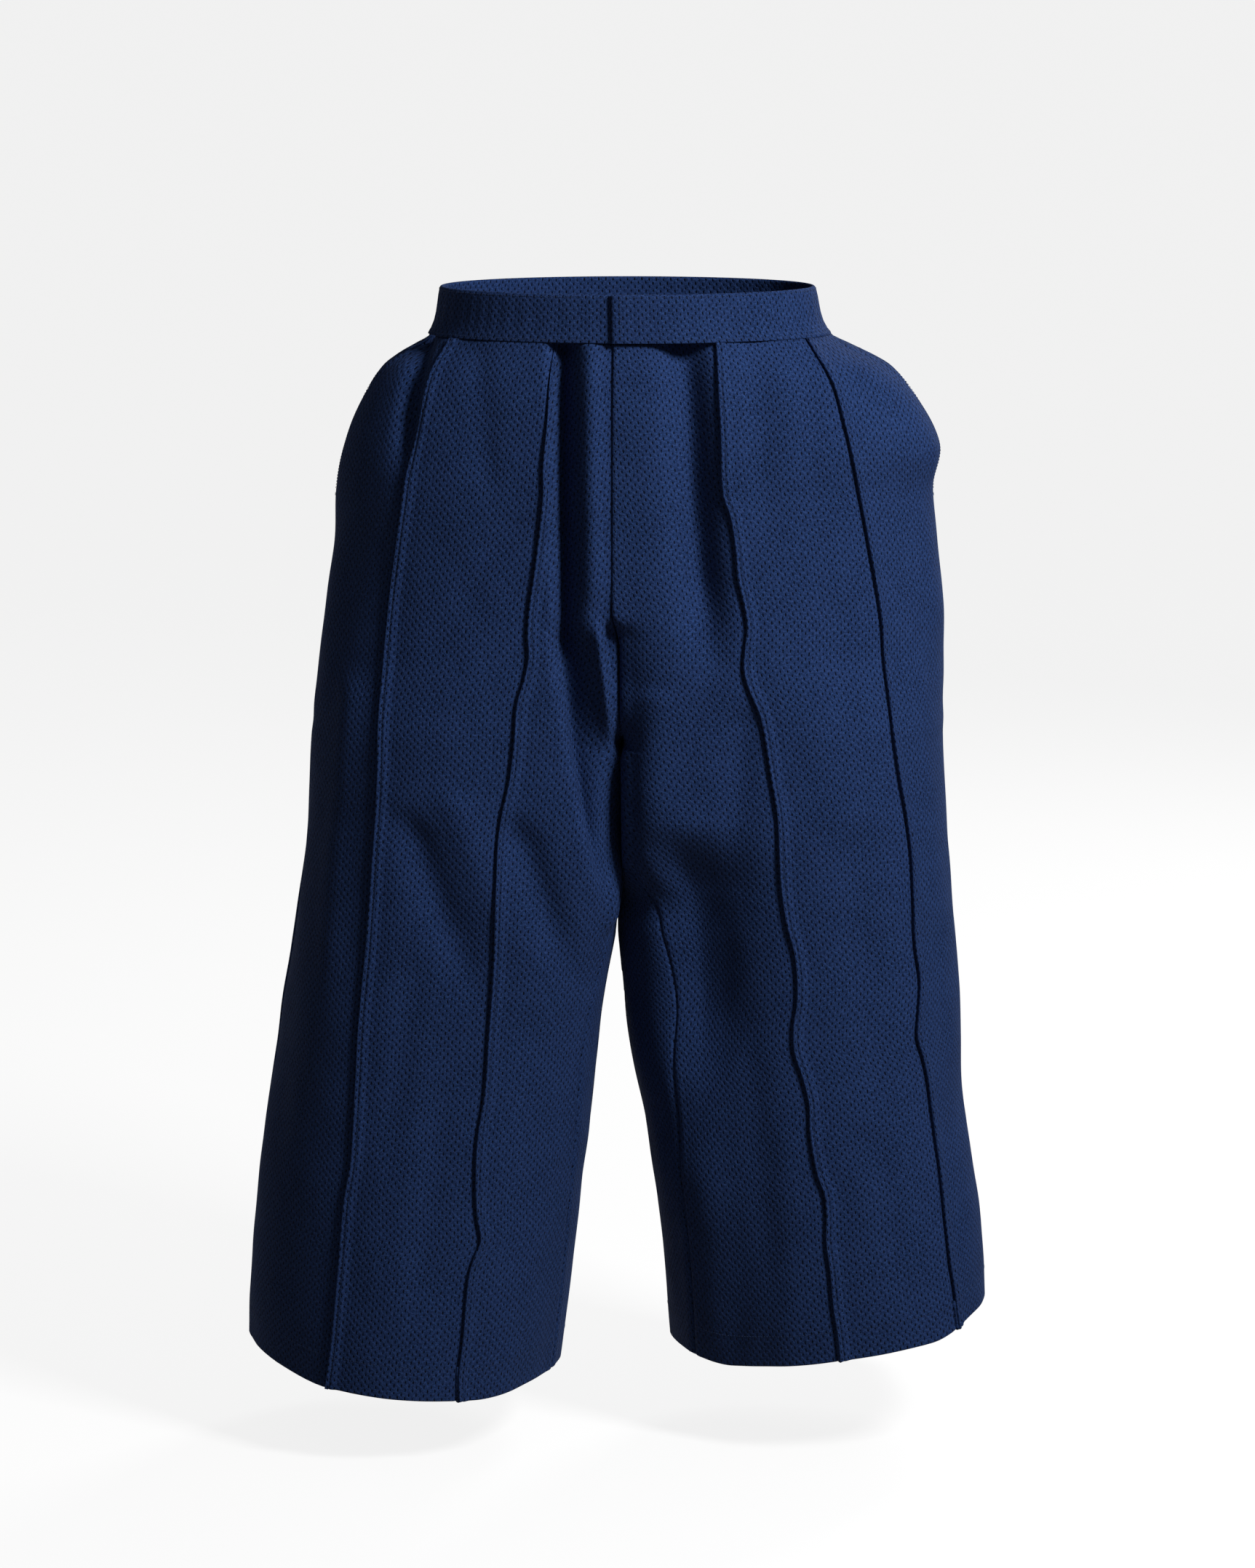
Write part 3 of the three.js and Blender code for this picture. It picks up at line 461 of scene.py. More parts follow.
def on_pocket(z):
    """1 where a pocket's mouth is open, 0 where the side seam is sewn."""
    return min(pocket_gape(z) / POCKET_OPENED, 1)


def side_start(z):
    return SEAM_GAP / 2 + pocket_gape(z)


FLY_END = {"start": 16, "over": 18}     # where the fly's turned edge gives way to the centre seam


def on_fly(z):
    """1 along the fly, 0 along the centre seam below it."""
    return float(smooth((z - FLY_FOOT + FLY_END["start"]) / FLY_END["over"]))


def inner_end(leg, face, z):
    """Where a panel ends on its inner side: the fly or a centre seam, and below the crotch the inseam."""
    whole = whole_length(leg, face, z)
    if z < CROTCH_Z:
        forward = read(INSEAMS, "seam" + leg, z)
        return whole + (-forward if face == "front" else forward) - SEAM_GAP / 2
    overlap = 0
    if face == "front" and leg == "R":
        overlap = UNDERLAP * smooth((z - FLY_FOOT - UNDERLAP_START["start"]) / UNDERLAP_START["over"])
    x, y, lengths = own_half(leg, face, z)
    past = np.maximum.accumulate((x - seam_x(z, face, y)) * INWARDS[leg] - overlap)
    return min(float(np.interp(-SEAM_GAP / 2, past, lengths)), whole - SEAM_GAP / 2)


def turning_length(leg, face, z, end):
    """Where the cloth nears the plane between the legs: the columns past it gather along the seam."""
    x, y, lengths = own_half(leg, face, z)
    past = np.maximum.accumulate((x - seam_x(z, face, y)) * INWARDS[leg])
    return min(float(np.interp(-NEAR_SEAM, past, lengths)), end - NEAR_SEAM)


def row_height(leg, x, z):
    """Height of a row, once the lower rows lean with the hem."""
    hem = HEM[leg]
    from_inner = np.abs(x - read(LEGS, "in" + leg, HEM_LEVEL))
    from_outer = np.abs(x - read(OUTLINE, "out" + leg, HEM_LEVEL))
    lift = smooth(1 - from_inner / hem["reach"]) + smooth(1 - from_outer / hem["reach"])
    height = hem["inner"] + hem["rise"] * from_inner + hem["corner"] * lift
    return z + (height - HEM_LEVEL) * np.clip((HEM_START - z) / (HEM_START - HEM_LEVEL), 0, 1)


SEAM_HOLD = 34              # nearer the centre seam than this, the cloth moves less and less sideways
# Below the crotch the insides of the legs are pressed together at the plane between them.
PRESS_TOP, PRESS_TOP_FADE = CROTCH_Z + 10, 20
PRESS_FOOT, PRESS_FOOT_FADE = -612, 24
PRESS_REACH, PRESS_REACH_FADE = 14, 8


def surface(leg, face, z, length, lift):
    """Points in millimetres at lengths along a face, lifted off the form: x, y, z, and the way out."""
    x, y, normal_x, normal_y, lengths, back_whole = outline(leg, face, z)
    base_x, base_y = np.interp(length, lengths, x), np.interp(length, lengths, y)
    across, out = np.interp(length, lengths, normal_x), np.interp(length, lengths, normal_y)
    size = np.hypot(across, out)
    across, out = across / size, out / size
    rise = lift + slack(base_x, base_y, z) + gathers(face, length, z)
    front_folds = fold_rise(FRONT_FOLDS + FRONT_CREASES, leg, base_x, z)
    if face == "front":
        rise = rise + front_folds + under_fly(leg, base_x, z)
    else:
        back_folds = fold_rise(BACK_FOLDS + BACK_CREASES, leg, base_x, z)
        rise = rise + np.where(length > back_whole, front_folds, back_folds)
    rise = rise + seam_roll(length - side_start(z)) * (1 - on_pocket(z))
    sewn = 1 - on_fly(z) if face == "front" else 1
    rise = rise + seam_roll(inner_end(leg, face, z) - length) * sewn
    from_seam = np.abs(base_x - seam_x(z, face, base_y))
    sideways = smooth(from_seam / SEAM_HOLD) if z > CROTCH_Z else 1
    px, py = base_x + across * rise * sideways, base_y + out * rise
    if face == "back" or z <= FLY_FOOT:
        limit = seam_x(z, face, py) - INWARDS[leg] * SEAM_GAP / 2
        level = smooth((PRESS_TOP - z) / PRESS_TOP_FADE) * smooth((z - PRESS_FOOT) / PRESS_FOOT_FADE)
        pressed = level * smooth((PRESS_REACH - np.abs(px - limit)) / PRESS_REACH_FADE)
        px = mix(px, limit, pressed)
        px = np.minimum(px, limit) if leg == "R" else np.maximum(px, limit)
    return np.stack([px, py, row_height(leg, base_x, z)], axis=1), across, out


def crest_length(leg, tuck, z):
    return length_at_x(leg, "front", z, read(TUCKS[tuck + leg], "x", z))


def edge_columns(width):
    """A turned edge from its outer side to the end of the cloth under it: lengths inwards, and rises."""
    aside = [line["aside"] for line in EDGE_PROFILE]
    aside[-1] = aside[-2] + width
    return np.array(aside), -np.array([line["under"] for line in EDGE_PROFILE])


# Columns of a row: from the side seam to the outer tuck, between the tucks, on towards the inner edge,
# over the whole of a back, and in the last stretch beside the inner edge.
SPREAD = {"side": 14, "between": 30, "centre": 32, "back": 76, "seam": 14}
NEAR_SEAM = 12              # width of that last stretch


def panel_columns(leg, face, z):
    """A row's columns from the side seam to the inner edge: lengths along the form, and rises off it."""
    start, end = side_start(z), inner_end(leg, face, z)
    turned = mix(TURNED_UNDER, TURNED_POCKET, on_pocket(z))
    aside, under = edge_columns(turned)
    parts = [(start + aside[::-1], under[::-1])]
    fly = TURNED_FLY if leg == "L" and face == "front" else TURNED_UNDER
    aside, under = edge_columns(mix(TURNED_UNDER, fly, on_fly(z)))
    last = (end - aside, under)
    if face == "front":
        across = np.array([line["across"] for line in TUCK_PROFILE]) * INWARDS[leg]
        rises = np.array([line["rise"] for line in TUCK_PROFILE])
        for tuck, spread in (("outer", SPREAD["side"]), ("inner", SPREAD["between"])):
            lengths = crest_length(leg, tuck, z) + across
            lengths, raised = (lengths, rises) if leg == "R" else (lengths[::-1], rises[::-1])
            filler = np.linspace(parts[-1][0][-1], lengths[0], spread + 1)[1:-1]
            parts += [(filler, np.zeros_like(filler)), (lengths, raised)]
        spread = SPREAD["centre"]
    else:
        spread = SPREAD["back"]
    turning = turning_length(leg, face, z, last[0][0])
    filler = np.linspace(parts[-1][0][-1], turning, spread + 1)[1:]
    near = np.linspace(turning, last[0][0], SPREAD["seam"] + 1)[1:-1]
    parts += [(filler, np.zeros_like(filler)), (near, np.zeros_like(near)), last]
    return tuple(np.concatenate([part[k] for part in parts]) for k in (0, 1))


def grain_length(leg, face, z):
    """Length at which the cloth's straight grain lies: between a front's tucks, or down a back's middle."""
    if face == "back":
        return (side_start(z) + whole_length(leg, face, z)) / 2
    return (crest_length(leg, "outer", z) + crest_length(leg, "inner", z)) / 2


def level_heights():
    """Rows from the waist seam to the hem, closer together round the crotch."""
    heights = [-BAND_HEIGHT + WAIST_SLIT]
    while heights[-1] - ROW_STEP > HEM_LEVEL:
        near = CROTCH_ROWS[0] < heights[-1] - CROTCH_Z < CROTCH_ROWS[1]
        heights.append(heights[-1] - (CROTCH_STEP if near else ROW_STEP))
    return heights + [float(HEM_LEVEL)]


# The hem's turn, after the last row: how far up it comes back, and how far under the outer side it lies.
HEM_PROFILE = table(
    "up under", (-0.5, 0.5), (-0.75, 1.5), (-0.5, 2.5), (0.6, 3.05), (8, 3.1), (16, 3.1), (24, 3.1),
    (HEM_TURN, 3.1))
RAISED = 99                 # added to a raised column's distance, so that an even one is the grain's


def panel_rows(leg, face):
    """A panel's points and its cloth map, a row for each level and for each step of the hem's turn."""
    points, maps = [], []
    run, before = 0.0, None
    turns = [{"up": 0, "under": 0}] * len(level_heights()) + HEM_PROFILE
    levels = level_heights() + [HEM_LEVEL] * len(HEM_PROFILE)
    for level, turn in zip(levels, turns):
        z = level + max(turn["up"], 0)
        lengths, rises = panel_columns(leg, face, z)
        row, _, _ = surface(leg, face, z, lengths, rises - turn["under"])
        row[:, 2] += min(turn["up"], 0)
        steps = np.hypot(np.diff(lengths), np.diff(rises))
        along = np.concatenate([[0], np.cumsum(steps)])
        grain = grain_length(leg, face, z)
        middle = int(np.argmin(np.abs(lengths - grain) + (rises != 0) * RAISED))
        along -= along[middle] + grain - lengths[middle]
        here = row[middle]
        run += 0.0 if before is None else float(np.linalg.norm(here - before))
        before = here
        points.append(row)
        maps.append(np.stack([along, np.full_like(along, -run)], axis=1))
    return np.array(points) * MM, np.array(maps) * MM


def bent_grid(points, maps, way):
    """A grid bent to rows of points, with its cloth map. way is -1 where the first row is the top one."""
    down, across = points.shape[0] - 1, points.shape[1] - 1
    bm = bmesh.new()
    bmesh.ops.create_grid(bm, x_segments=across, y_segments=down, size=0.5)
    cloth_map = bm.loops.layers.uv.new("cloth")
    for vert in bm.verts:
        i, j = round((vert.co.x + 0.5) * across), round((0.5 + way * vert.co.y) * down)
        vert.index = j * (across + 1) + i
        vert.co = points[j, i]
    for item in bm.faces:
        for loop in item.loops:
            j, i = divmod(loop.vert.index, across + 1)
            loop[cloth_map].uv = maps[j, i]
    return bm


def panel_mesh(leg, face):
    """One panel, its developed size as widest row by length down the grain, and its area in metres."""
    points, maps = panel_rows(leg, face)
    bm = bent_grid(points, maps, -1)
    if (leg == "R") != (face == "front"):
        bmesh.ops.reverse_faces(bm, faces=bm.faces[:])
    width, length = np.ptp(maps[:, :, 0], axis=1).max(), np.ptp(maps[:, :, 1])
    return bm, (float(width), float(length)), developed_area(points)


def developed_area(points):
    """Area of a bent grid, in square metres."""
    right, below = np.diff(points, axis=1)[:-1], np.diff(points, axis=0)[:, :-1]
    return float(np.linalg.norm(np.cross(right, below), axis=2).sum())


# ---- pieces ----------------------------------------------------------------------------------------
def add_object(name, data):
    made = bpy.data.objects.new(name, data)
    bpy.context.scene.collection.objects.link(made)
    return made


def mesh_from(name, bm, material):
    mesh = bpy.data.meshes.new(name)
    bm.to_mesh(mesh)
    bm.free()
    mesh.materials.append(material)
    return mesh


def add_piece(name, bm, material):
    mesh = mesh_from(name, bm, material)
    mesh.shade_smooth()
    piece = add_object(name, mesh)
    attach(piece, "root")
    return piece


def thicken(piece, thickness):
    solid = piece.modifiers.new("cloth thickness", "SOLIDIFY")
    solid.thickness = thickness * MM
    solid.offset = -1
    solid.use_quality_normals = True


def resample(points, outs, pitch):
    """Evenly spaced places along a line on the cloth: middle, direction and way out of each stitch."""
    along = run_along(points)
    stops = np.arange(pitch / 2, along[-1], pitch)
    reach = pitch * 0.2     # the direction is read between two points this far each way
    read_at = [np.stack([np.interp(stop, along, line[:, k]) for k in range(3)], axis=1)
               for stop, line in ((stops - reach, points), (stops + reach, points), (stops, outs))]
    return [((a + b) / 2, b - a, out) for a, b, out in zip(*read_at)]


def stitch_row(bm, points, outs):
    """A row of short thread stitches along a line of points in millimetres."""
    for middle, along, out in resample(points, outs, STITCH_PITCH):
        forward = Vector(along).normalized()
        side = Vector(out).cross(forward).normalized()
        up = forward.cross(side)
        turn = Matrix((forward, side, up)).transposed().to_4x4()
        radii = (STITCH_LENGTH / 2 * MM, STITCH_WIDTH * MM, STITCH_WIDTH * STITCH_FLATNESS * MM)
        size = Matrix.Diagonal((*radii, 1))
        place = Matrix.Translation(Vector(middle) * MM) @ turn @ size
        bmesh.ops.create_icosphere(bm, subdivisions=1, radius=1, matrix=place)


def line_on_panel(leg, face, places):
    """Points and ways out along a line that is given by its heights, lengths and rises."""
    points, outs = [], []
    for z, length, rise in places:
        row, across, out = surface(leg, face, z, np.array([length]), np.array([rise]))
        points.append(row[0])
        outs.append((across[0], out[0], 0))
    return np.array(points), np.array(outs)


def levels_between(top, foot, step=6):
    return np.append(np.arange(top, foot, -step), foot)


def tuck_stitches(bm, leg):
    across = INWARDS[leg] * TUCK_STITCH["across"]
    for tuck in ("outer", "inner"):
        places = [(z, crest_length(leg, tuck, z) + across, TUCK_STITCH["rise"])
                  for z in levels_between(-BAND_HEIGHT - 2, HEM_LEVEL + 4)]
        stitch_row(bm, *line_on_panel(leg, "front", places))


def hem_stitches(bm, leg, face):
    z = HEM_LEVEL + HEM_TURN - 2
    lengths, rises = panel_columns(leg, face, z)
    keep = slice(len(EDGE_PROFILE), -len(EDGE_PROFILE))
    points, across, out = surface(leg, face, z, lengths[keep], rises[keep] + STITCH_RISE["hem"])
    stitch_row(bm, points, np.stack([across, out, np.zeros_like(out)], axis=1))


def edge_stitches(bm, leg, face, top, foot, aside):
    """A row beside a panel's edge: aside > 0 from the side seam, aside < 0 from the inner edge."""
    places = []
    for z in levels_between(top, foot, 5):
        edge = side_start(z) if aside > 0 else inner_end(leg, face, z)
        places.append((z, edge + aside, STITCH_RISE["edge"]))
    stitch_row(bm, *line_on_panel(leg, face, places))


BAR_ROWS = 5
BAR_PITCH = 0.55
BAR_WIDTH = 7
BAR_ASIDE = 3.5             # of its middle from the side seam


def bar_tack(bm, leg, face, z):
    """A short dense bar of stitches across an end of the pocket's mouth."""
    middle = side_start(z) + BAR_ASIDE
    for k in range(BAR_ROWS):
        places = [(z - k * BAR_PITCH, middle + shift, STITCH_RISE["bar"])
                  for shift in (-BAR_WIDTH / 2, 0, BAR_WIDTH / 2)]
        stitch_row(bm, *line_on_panel(leg, face, places))


def panel_stitches(leg, face):
    bm = bmesh.new()
    hem_stitches(bm, leg, face)
    edge_stitches(bm, leg, face, POCKET_TOP - 4, POCKET_FOOT + 4, 7)
    bar_tack(bm, leg, face, POCKET_FOOT - 1)
    bar_tack(bm, leg, face, POCKET_TOP + 2)
    if face == "front":
        tuck_stitches(bm, leg)
    if face == "front" and leg == "L":
        edge_stitches(bm, leg, face, -BAND_HEIGHT - 1, FLY_FOOT + 10, -3)
    return bm


# ---- waistband -------------------------------------------------------------------------------------
BAND_STEPS = 300
BAND_PUCKER = 0.35          # height of the small puckers that its two rows of sewing draw up
# Across the strip, from its lower edge up the outer side, over the fold and down inside.
BAND_PROFILE = table(
    "up under", (0.4, 1.3), (0.05, 0.7), (0.3, 0.15), (1.2, 0), (5, 0), (12, 0), (20, 0), (28, 0), (36, 0),
    (42, 0), (44, 0.25), (44.8, 1.0), (45, 1.8), (44.8, 2.6), (44, 3.35), (42, 3.6), (36, 3.6), (28, 3.6),
    (20, 3.6), (12, 3.6), (5, 3.6), (1.2, 3.6), (0.3, 3.4), (0.05, 3.0), (0.4, 2.4))


def band_line(turns, z, under):
    """Points on the band at a height, and the ways out."""
    left, right = read(OUTLINE, "outL", z), read(OUTLINE, "outR", z)
    half_width, middle, half_depth = (left - right) / 2, (left + right) / 2, read(OUTLINE, "back", z)
    out_x, out_y = -np.sin(turns) / half_width, -np.cos(turns) / half_depth
    size = np.hypot(out_x, out_y)
    out_x, out_y = out_x / size, out_y / size
    ease = smooth((turns - (2 * math.pi + band_start() - BAND_EASE)) / (BAND_EASE * 0.8))
    pucker = BAND_PUCKER * np.sin(turns * 61 + 2 * np.sin(turns * 7)) * math.sin(math.pi * -z / BAND_HEIGHT)
    rise = BAND_PROUD + (BAND_THICKNESS + 2 * SEAM_GAP) * ease + pucker - under
    x = middle - half_width * np.sin(turns) + out_x * rise
    y = -half_depth * np.cos(turns) + out_y * rise
    outs = np.stack([out_x, out_y, np.zeros_like(out_x)], axis=1)
    return np.stack([x, y, np.full_like(x, z)], axis=1), outs


def band_start():
    return -math.asin((FLY_X + BAND_LAP) / OUTLINE[0]["outL"])


def band_turns():
    return np.linspace(band_start(), 2 * math.pi - math.asin(FLY_X / OUTLINE[0]["outL"]), BAND_STEPS + 1)


BAND_MAP_ROW, BAND_MAP_COLUMN = 8, 40       # where the strip's cloth map is measured


def band_mesh():
    turns = band_turns()
    rows = [band_line(turns, line["up"] - BAND_HEIGHT, line["under"])[0] for line in BAND_PROFILE]
    points = np.array(rows) * MM
    along, up = run_along(points[BAND_MAP_ROW]), run_along(points[:, BAND_MAP_COLUMN])
    bm = bent_grid(points, np.stack(np.meshgrid(along, up), axis=2), 1)
    bmesh.ops.reverse_faces(bm, faces=bm.faces[:])
    return bm, developed_area(points)


def band_stitches():
    bm = bmesh.new()
    turns = band_turns()[2:-2]
    for z in (-2.5, 3 - BAND_HEIGHT):
        stitch_row(bm, *band_line(turns, z, -STITCH_RISE["band"]))
    heights = np.linspace(-3, 3 - BAND_HEIGHT, 12)
    ends = [band_line(band_turns()[-3:-2], z, -STITCH_RISE["band"]) for z in heights]
    stitch_row(bm, np.array([end[0][0] for end in ends]), np.array([end[1][0] for end in ends]))
    return bm


def bag_mesh(node):
    bm = bmesh.new()
    bm.from_mesh(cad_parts[node].data)
    bmesh.ops.remove_doubles(bm, verts=bm.verts[:], dist=WELD * MM)
    for layer in list(bm.loops.layers.uv):
        bm.loops.layers.uv.remove(layer)
    return bm


# ---- cloth and thread ------------------------------------------------------------------------------
WEAVE_ACROSS = 7.1          # full repeat of the rice-grain weave, which holds two grains each way
WEAVE_DOWN = 7.6
WEAVE_WANDER = (0.0009, 0.0032, 0)      # how far its rows and columns stray, in metres
THREAD_PITCH = 0.9          # full repeat of the pocketing's plain weave
INDIGO = {
    "deep": (0.0085, 0.0205, 0.0700, 1),
    "plain": (0.0115, 0.0265, 0.0880, 1),
    "worn": (0.0215, 0.0450, 0.1400, 1),
    # partly the yarn's lighter flecks, partly painted glints on the raised yarn
    "fleck": (0.022, 0.080, 0.250, 1),
    "red fleck": (0.030, 0.018, 0.030, 1),
    # painted shade: the near-black colour of the shade inside the weave's slots
    "slot": (0.0012, 0.0022, 0.0060, 1),
    "sheen": (0.35, 0.5, 1.0, 1),
}
THREAD = {"dark": (0.010, 0.022, 0.066, 1), "light": (0.020, 0.042, 0.115, 1)}
POCKETING = {
    "dark": (0.0085, 0.014, 0.036, 1),
    "light": (0.014, 0.022, 0.056, 1),
    # painted highlight: the lighter colour of the raised thread crossings
    "raised": (0.02, 0.03, 0.07, 1),
}
FLOOR_GREY = {"dark": (0.16, 0.16, 0.16, 1), "light": (0.17, 0.17, 0.17, 1)}


class Finish:
    """A material under construction, with short words for the nodes that it is made of."""

    def __init__(self, name):
        self.material = bpy.data.materials.new(name)
        self.material.use_nodes = True
        self.nodes = self.material.node_tree.nodes
        self.links = self.material.node_tree.links
        self.shader = self.nodes["Principled BSDF"]

    def add(self, kind, **inputs):
        node = self.nodes.new(kind)
        for name, value in inputs.items():
            self.put(node.inputs[name.replace("_", " ")], value)
        return node

    def put(self, socket, value):
        if isinstance(value, bpy.types.NodeSocket):
            self.links.new(value, socket)
        else:
            socket.default_value = value

    def sum(self, operation, first, second=0.0, third=0.0):
        node = self.nodes.new("ShaderNodeMath")
        node.operation = operation
        for socket, value in zip(node.inputs, (first, second, third)):
            self.put(socket, value)
        return node.outputs[0]

    def blend(self, share, first, second):
        node = self.nodes.new("ShaderNodeMix")
        node.data_type = "RGBA"
        for k, value in ((0, share), (6, first), (7, second)):
            self.put(node.inputs[k], value)
        return node.outputs[2]

    def noise(self, place, scale, detail=2.0, roughness=0.5):
        node = self.add("ShaderNodeTexNoise", Scale=scale, Detail=detail, Roughness=roughness)
        self.put(node.inputs["Vector"], place)
        return node.outputs["Fac"]

    def rise(self, value, low, high):
        """0 below low, 1 above high, and a soft step between."""
        node = self.add("ShaderNodeMapRange")
        node.interpolation_type = "SMOOTHSTEP"
        for socket, number in zip(node.inputs[:3], (value, low, high)):
            self.put(socket, number)
        return node.outputs[0]

    def wave(self, operation, value, pitch):
        """A sine or cosine that repeats at a pitch in millimetres."""
        return self.sum(operation, self.sum("MULTIPLY", value, 2 * math.pi / (pitch * MM)))

    def relief(self, height, strength, distance):
        bump = self.add("ShaderNodeBump", Strength=strength, Distance=distance)
        self.put(bump.inputs["Height"], height)
        self.put(self.shader.inputs["Normal"], bump.outputs["Normal"])

    def coat(self, color, roughness, gloss):
        for name, value in (("Base Color", color), ("Roughness", roughness), ("Specular IOR Level", gloss)):
            self.put(self.shader.inputs[name], value)


def indigo_cloth():
    """Matt indigo cotton in a rice-grain weave: rows of raised knots with slots between them, where shade is
    painted nearly black into the colour.
    """
    f = Finish("indigo rice-grain cotton")
    place = f.add("ShaderNodeUVMap")
    place.uv_map = "cloth"
    where = place.outputs["UV"]
    wander = f.add("ShaderNodeTexNoise", Scale=130.0, Detail=1.0)
    f.put(wander.inputs["Vector"], where)
    shifted = f.add("ShaderNodeVectorMath")
    shifted.operation = "MULTIPLY_ADD"
    for socket, value in zip(shifted.inputs[:3], (wander.outputs["Color"], WEAVE_WANDER, where)):
        f.put(socket, value)
    parts = f.add("ShaderNodeSeparateXYZ")
    f.put(parts.inputs[0], shifted.outputs[0])
    wave_across = f.wave("COSINE", parts.outputs[0], WEAVE_ACROSS)
    wave_down = f.wave("COSINE", parts.outputs[1], WEAVE_DOWN)
    slots = 0.0
    for sign in (1, -1):
        narrow = f.sum("POWER", f.sum("MULTIPLY_ADD", wave_across, -0.5 * sign, 0.5), 12.0)
        tall = f.sum("POWER", f.sum("MULTIPLY_ADD", wave_down, 0.5 * sign, 0.5), 2.6)
        slots = f.sum("MULTIPLY_ADD", narrow, tall, slots)
    knots = f.sum("MULTIPLY_ADD", f.sum("MULTIPLY", wave_across, wave_down), 0.5, 0.5)
    yarn = f.noise(where, 900.0, 2.0, 0.6)
    uneven = f.noise(where, 420.0, 2.0, 0.6)
    slot_depth = f.sum("MULTIPLY", slots, f.rise(uneven, 0.25, 0.62))
    height = f.sum("MULTIPLY_ADD", slot_depth, -1.0, f.sum("MULTIPLY", knots, 0.35))
    height = f.sum("MULTIPLY_ADD", yarn, 0.45, height)
    f.relief(f.sum("MULTIPLY_ADD", uneven, 0.5, height), 1.0, 0.0008)
    shade = f.blend(f.rise(f.noise(where, 26.0, 3.0, 0.55), 0.3, 0.7), INDIGO["deep"], INDIGO["plain"])
    shade = f.blend(f.rise(uneven, 0.42, 0.66), shade, INDIGO["worn"])
    # Light flecks where the yarn stands highest: partly its uneven dye, partly painted glints of light on
    # the raised yarn.
    shade = f.blend(f.sum("MULTIPLY", f.rise(yarn, 0.56, 0.70), 0.8), shade, INDIGO["fleck"])
    red = f.rise(f.noise(where, 610.0, 1.0), 0.70, 0.76)
    shade = f.blend(f.sum("MULTIPLY", red, 0.5), shade, INDIGO["red fleck"])
    # Painted shade: the slots between the knots are darkened nearly to black for the shade that falls in
    # them.
    dark = f.sum("MULTIPLY", f.rise(slot_depth, 0.06, 0.45), 0.95)
    f.coat(f.blend(dark, shade, INDIGO["slot"]), 0.95, 0.06)
    f.shader.inputs["Sheen Weight"].default_value = 0.02
    f.shader.inputs["Sheen Roughness"].default_value = 0.45
    f.shader.inputs["Sheen Tint"].default_value = INDIGO["sheen"]
    return f.material


def sewing_thread():
    f = Finish("indigo sewing thread")
    where = f.add("ShaderNodeTexCoord").outputs["Object"]
    strands = f.noise(where, 2400.0, 1.0)
    f.coat(f.blend(strands, THREAD["dark"], THREAD["light"]), 0.75, 0.25)
    f.relief(strands, 0.6, 0.0001)
    return f.material


def pocketing():
    """Plain dark cotton for the pocket bags, in a fine flat weave."""
    f = Finish("dark pocketing cotton")
    where = f.add("ShaderNodeTexCoord").outputs["Object"]
    parts = f.add("ShaderNodeSeparateXYZ")
    f.put(parts.inputs[0], where)
    threads = [f.wave("SINE", parts.outputs[k], THREAD_PITCH) for k in (1, 2)]
    weave = f.sum("MULTIPLY_ADD", f.sum("MULTIPLY", *threads), 0.5, 0.5)
    shade = f.blend(f.noise(where, 30.0, 3.0), POCKETING["dark"], POCKETING["light"])
    # Painted highlight: the weave's raised thread crossings are coloured lighter, as if lit.
    f.coat(f.blend(f.sum("MULTIPLY", weave, 0.35), shade, POCKETING["raised"]), 0.92, 0.15)
    f.relief(weave, 0.5, 0.00012)
    return f.material


def pale_floor():
    f = Finish("pale floor")
    where = f.add("ShaderNodeTexCoord").outputs["Object"]
    f.coat(f.blend(f.noise(where, 3.0), FLOOR_GREY["dark"], FLOOR_GREY["light"]), 1.0, 0.0)
    f.shader.inputs["Emission Color"].default_value = (1.0, 1.0, 1.0, 1)
    f.shader.inputs["Emission Strength"].default_value = 0.86
    return f.material


# ---- the trousers ----------------------------------------------------------------------------------
cloth, thread, bag_cloth = indigo_cloth(), sewing_thread(), pocketing()

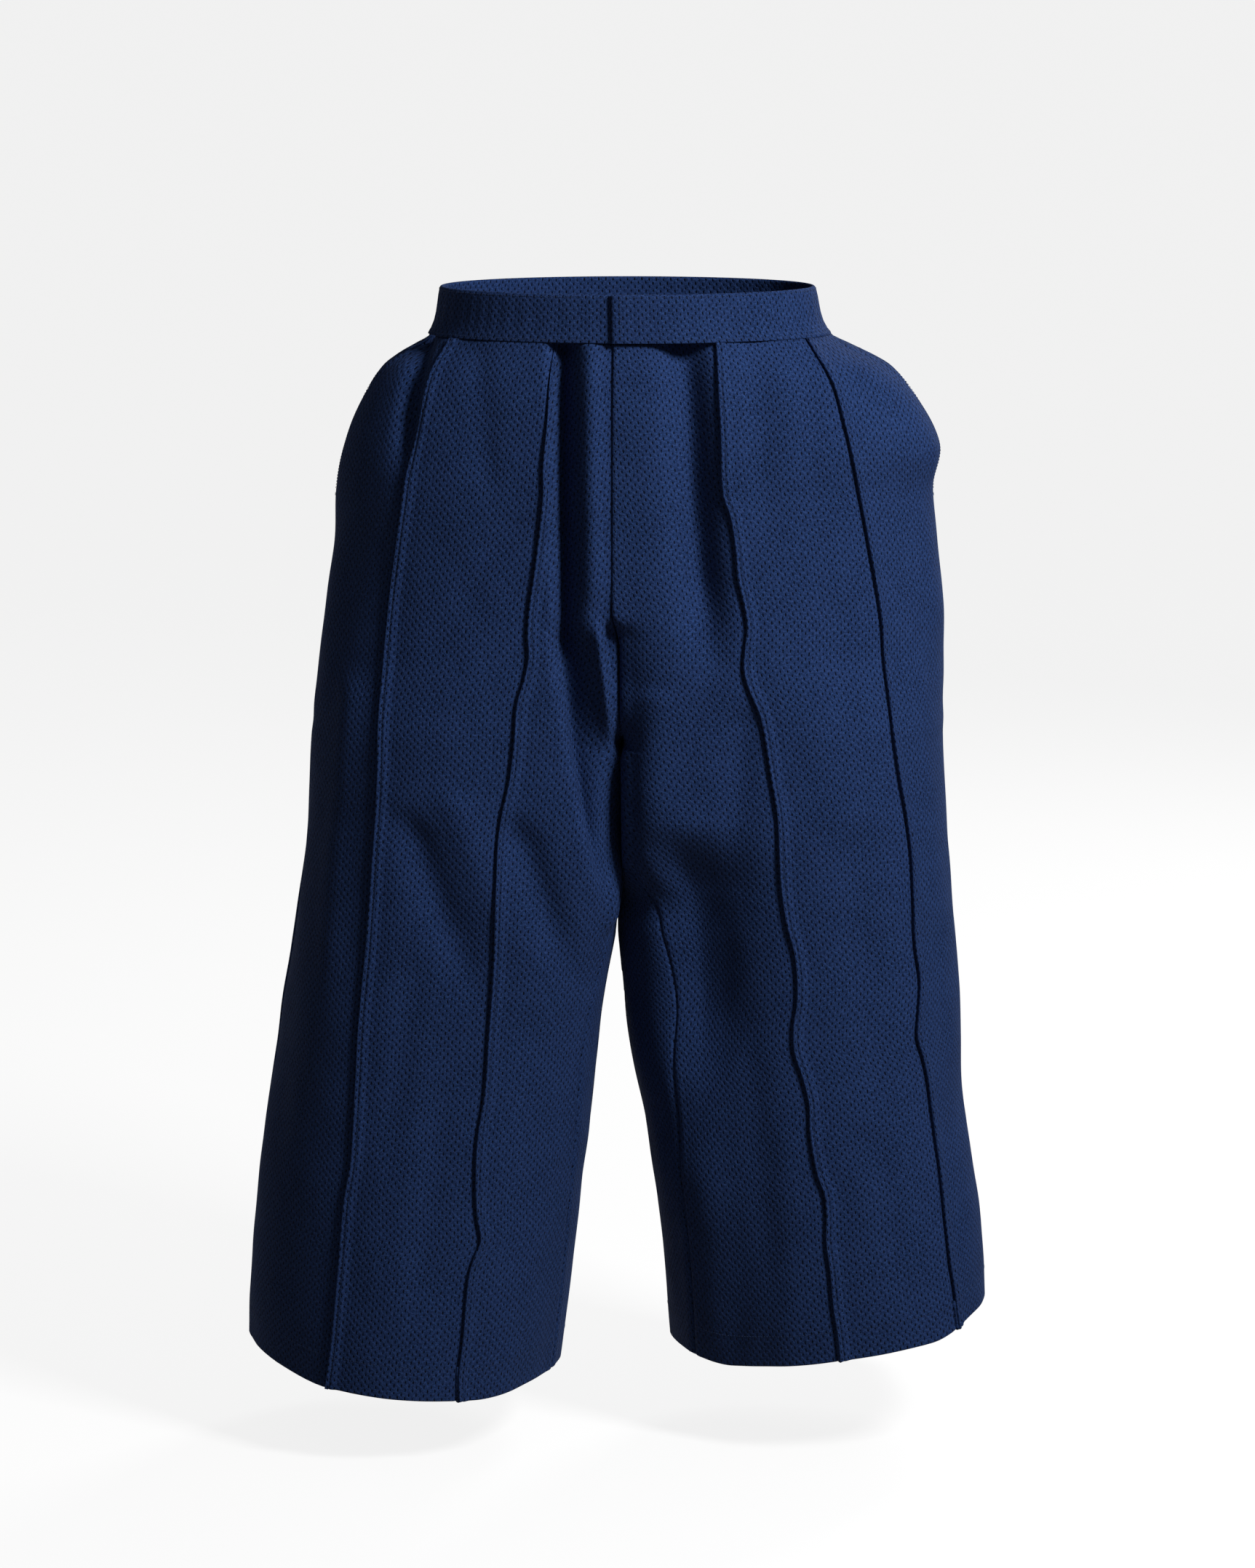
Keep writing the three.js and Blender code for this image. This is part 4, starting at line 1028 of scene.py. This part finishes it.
for leg, side in (("R", "right"), ("L", "left")):
    for face in ("front", "back"):
        bm, flat_size, cloth_area = panel_mesh(leg, face)
        panel = add_piece(f"cloth_{face}_{side}", bm, cloth)
        thicken(panel, CLOTH)
        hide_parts(f"{face}_{side}")
        sewing = add_piece(f"stitches_{face}_{side}", panel_stitches(leg, face), thread)
    bag = add_piece(f"pocketing_{side}", bag_mesh(f"pocket_bag_{side}"), bag_cloth)
    rounded = bag.modifiers.new("soft form", "SUBSURF")
    rounded.levels = rounded.render_levels = 2
    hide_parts(f"pocket_bag_{side}")

bm, band_area = band_mesh()
band = add_piece("cloth_waistband", bm, cloth)
thicken(band, CLOTH)
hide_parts("waistband")
sewing = add_piece("stitches_waistband", band_stitches(), thread)


# ---- floor, light and camera -----------------------------------------------------------------------
FLOOR_Z = -1.110            # metres, as is all that follows
FLOOR_RADIUS = 150
bm = bmesh.new()
bmesh.ops.create_circle(bm, cap_ends=True, segments=128, radius=FLOOR_RADIUS,
                        matrix=Matrix.Translation((0, 0, FLOOR_Z)))
floor = add_object("floor", mesh_from("floor", bm, pale_floor()))
floor.visible_diffuse = False       # the floor throws no light back up, so the folds keep their shade

LIGHTS = table(
    "name x y z size watts",
    ("key softbox", 1.6, -1.52, 1.25, 0.6, 82),
    ("back softbox", 1.6, 2.8, 1.2, 1.0, 60),
)
MIDDLE = Vector((0, 0, -0.5))       # where the lamps point
for row in LIGHTS:
    lamp = bpy.data.lights.new(row["name"], "AREA")
    lamp.size = row["size"]
    lamp.energy = row["watts"]
    holder = add_object(row["name"], lamp)
    holder.location = (row["x"], row["y"], row["z"])
    holder.rotation_euler = (holder.location - MIDDLE).to_track_quat("Z", "Y").to_euler()

WORLD_STRENGTH = 0.1
world = bpy.data.worlds.new("soft studio")
world.use_nodes = True
background = world.node_tree.nodes["Background"]
background.inputs["Color"].default_value = (1.0, 1.0, 1.0, 1)
background.inputs["Strength"].default_value = WORLD_STRENGTH
bpy.context.scene.world = world
bpy.context.scene.view_settings.view_transform = "Standard"

CAMERA = {"sensor": 36, "lens": 114.04, "sight": 500, "place": (0, -4.700, 0.367), "looks down": 10.2}
camera = bpy.data.cameras.new("camera")
camera.sensor_width = CAMERA["sensor"]
camera.lens = CAMERA["lens"]
camera.clip_end = CAMERA["sight"]
camera_object = add_object("camera", camera)
camera_object.location = CAMERA["place"]
camera_object.rotation_euler = (math.radians(90 - CAMERA["looks down"]), 0, 0)
bpy.context.scene.camera = camera_object
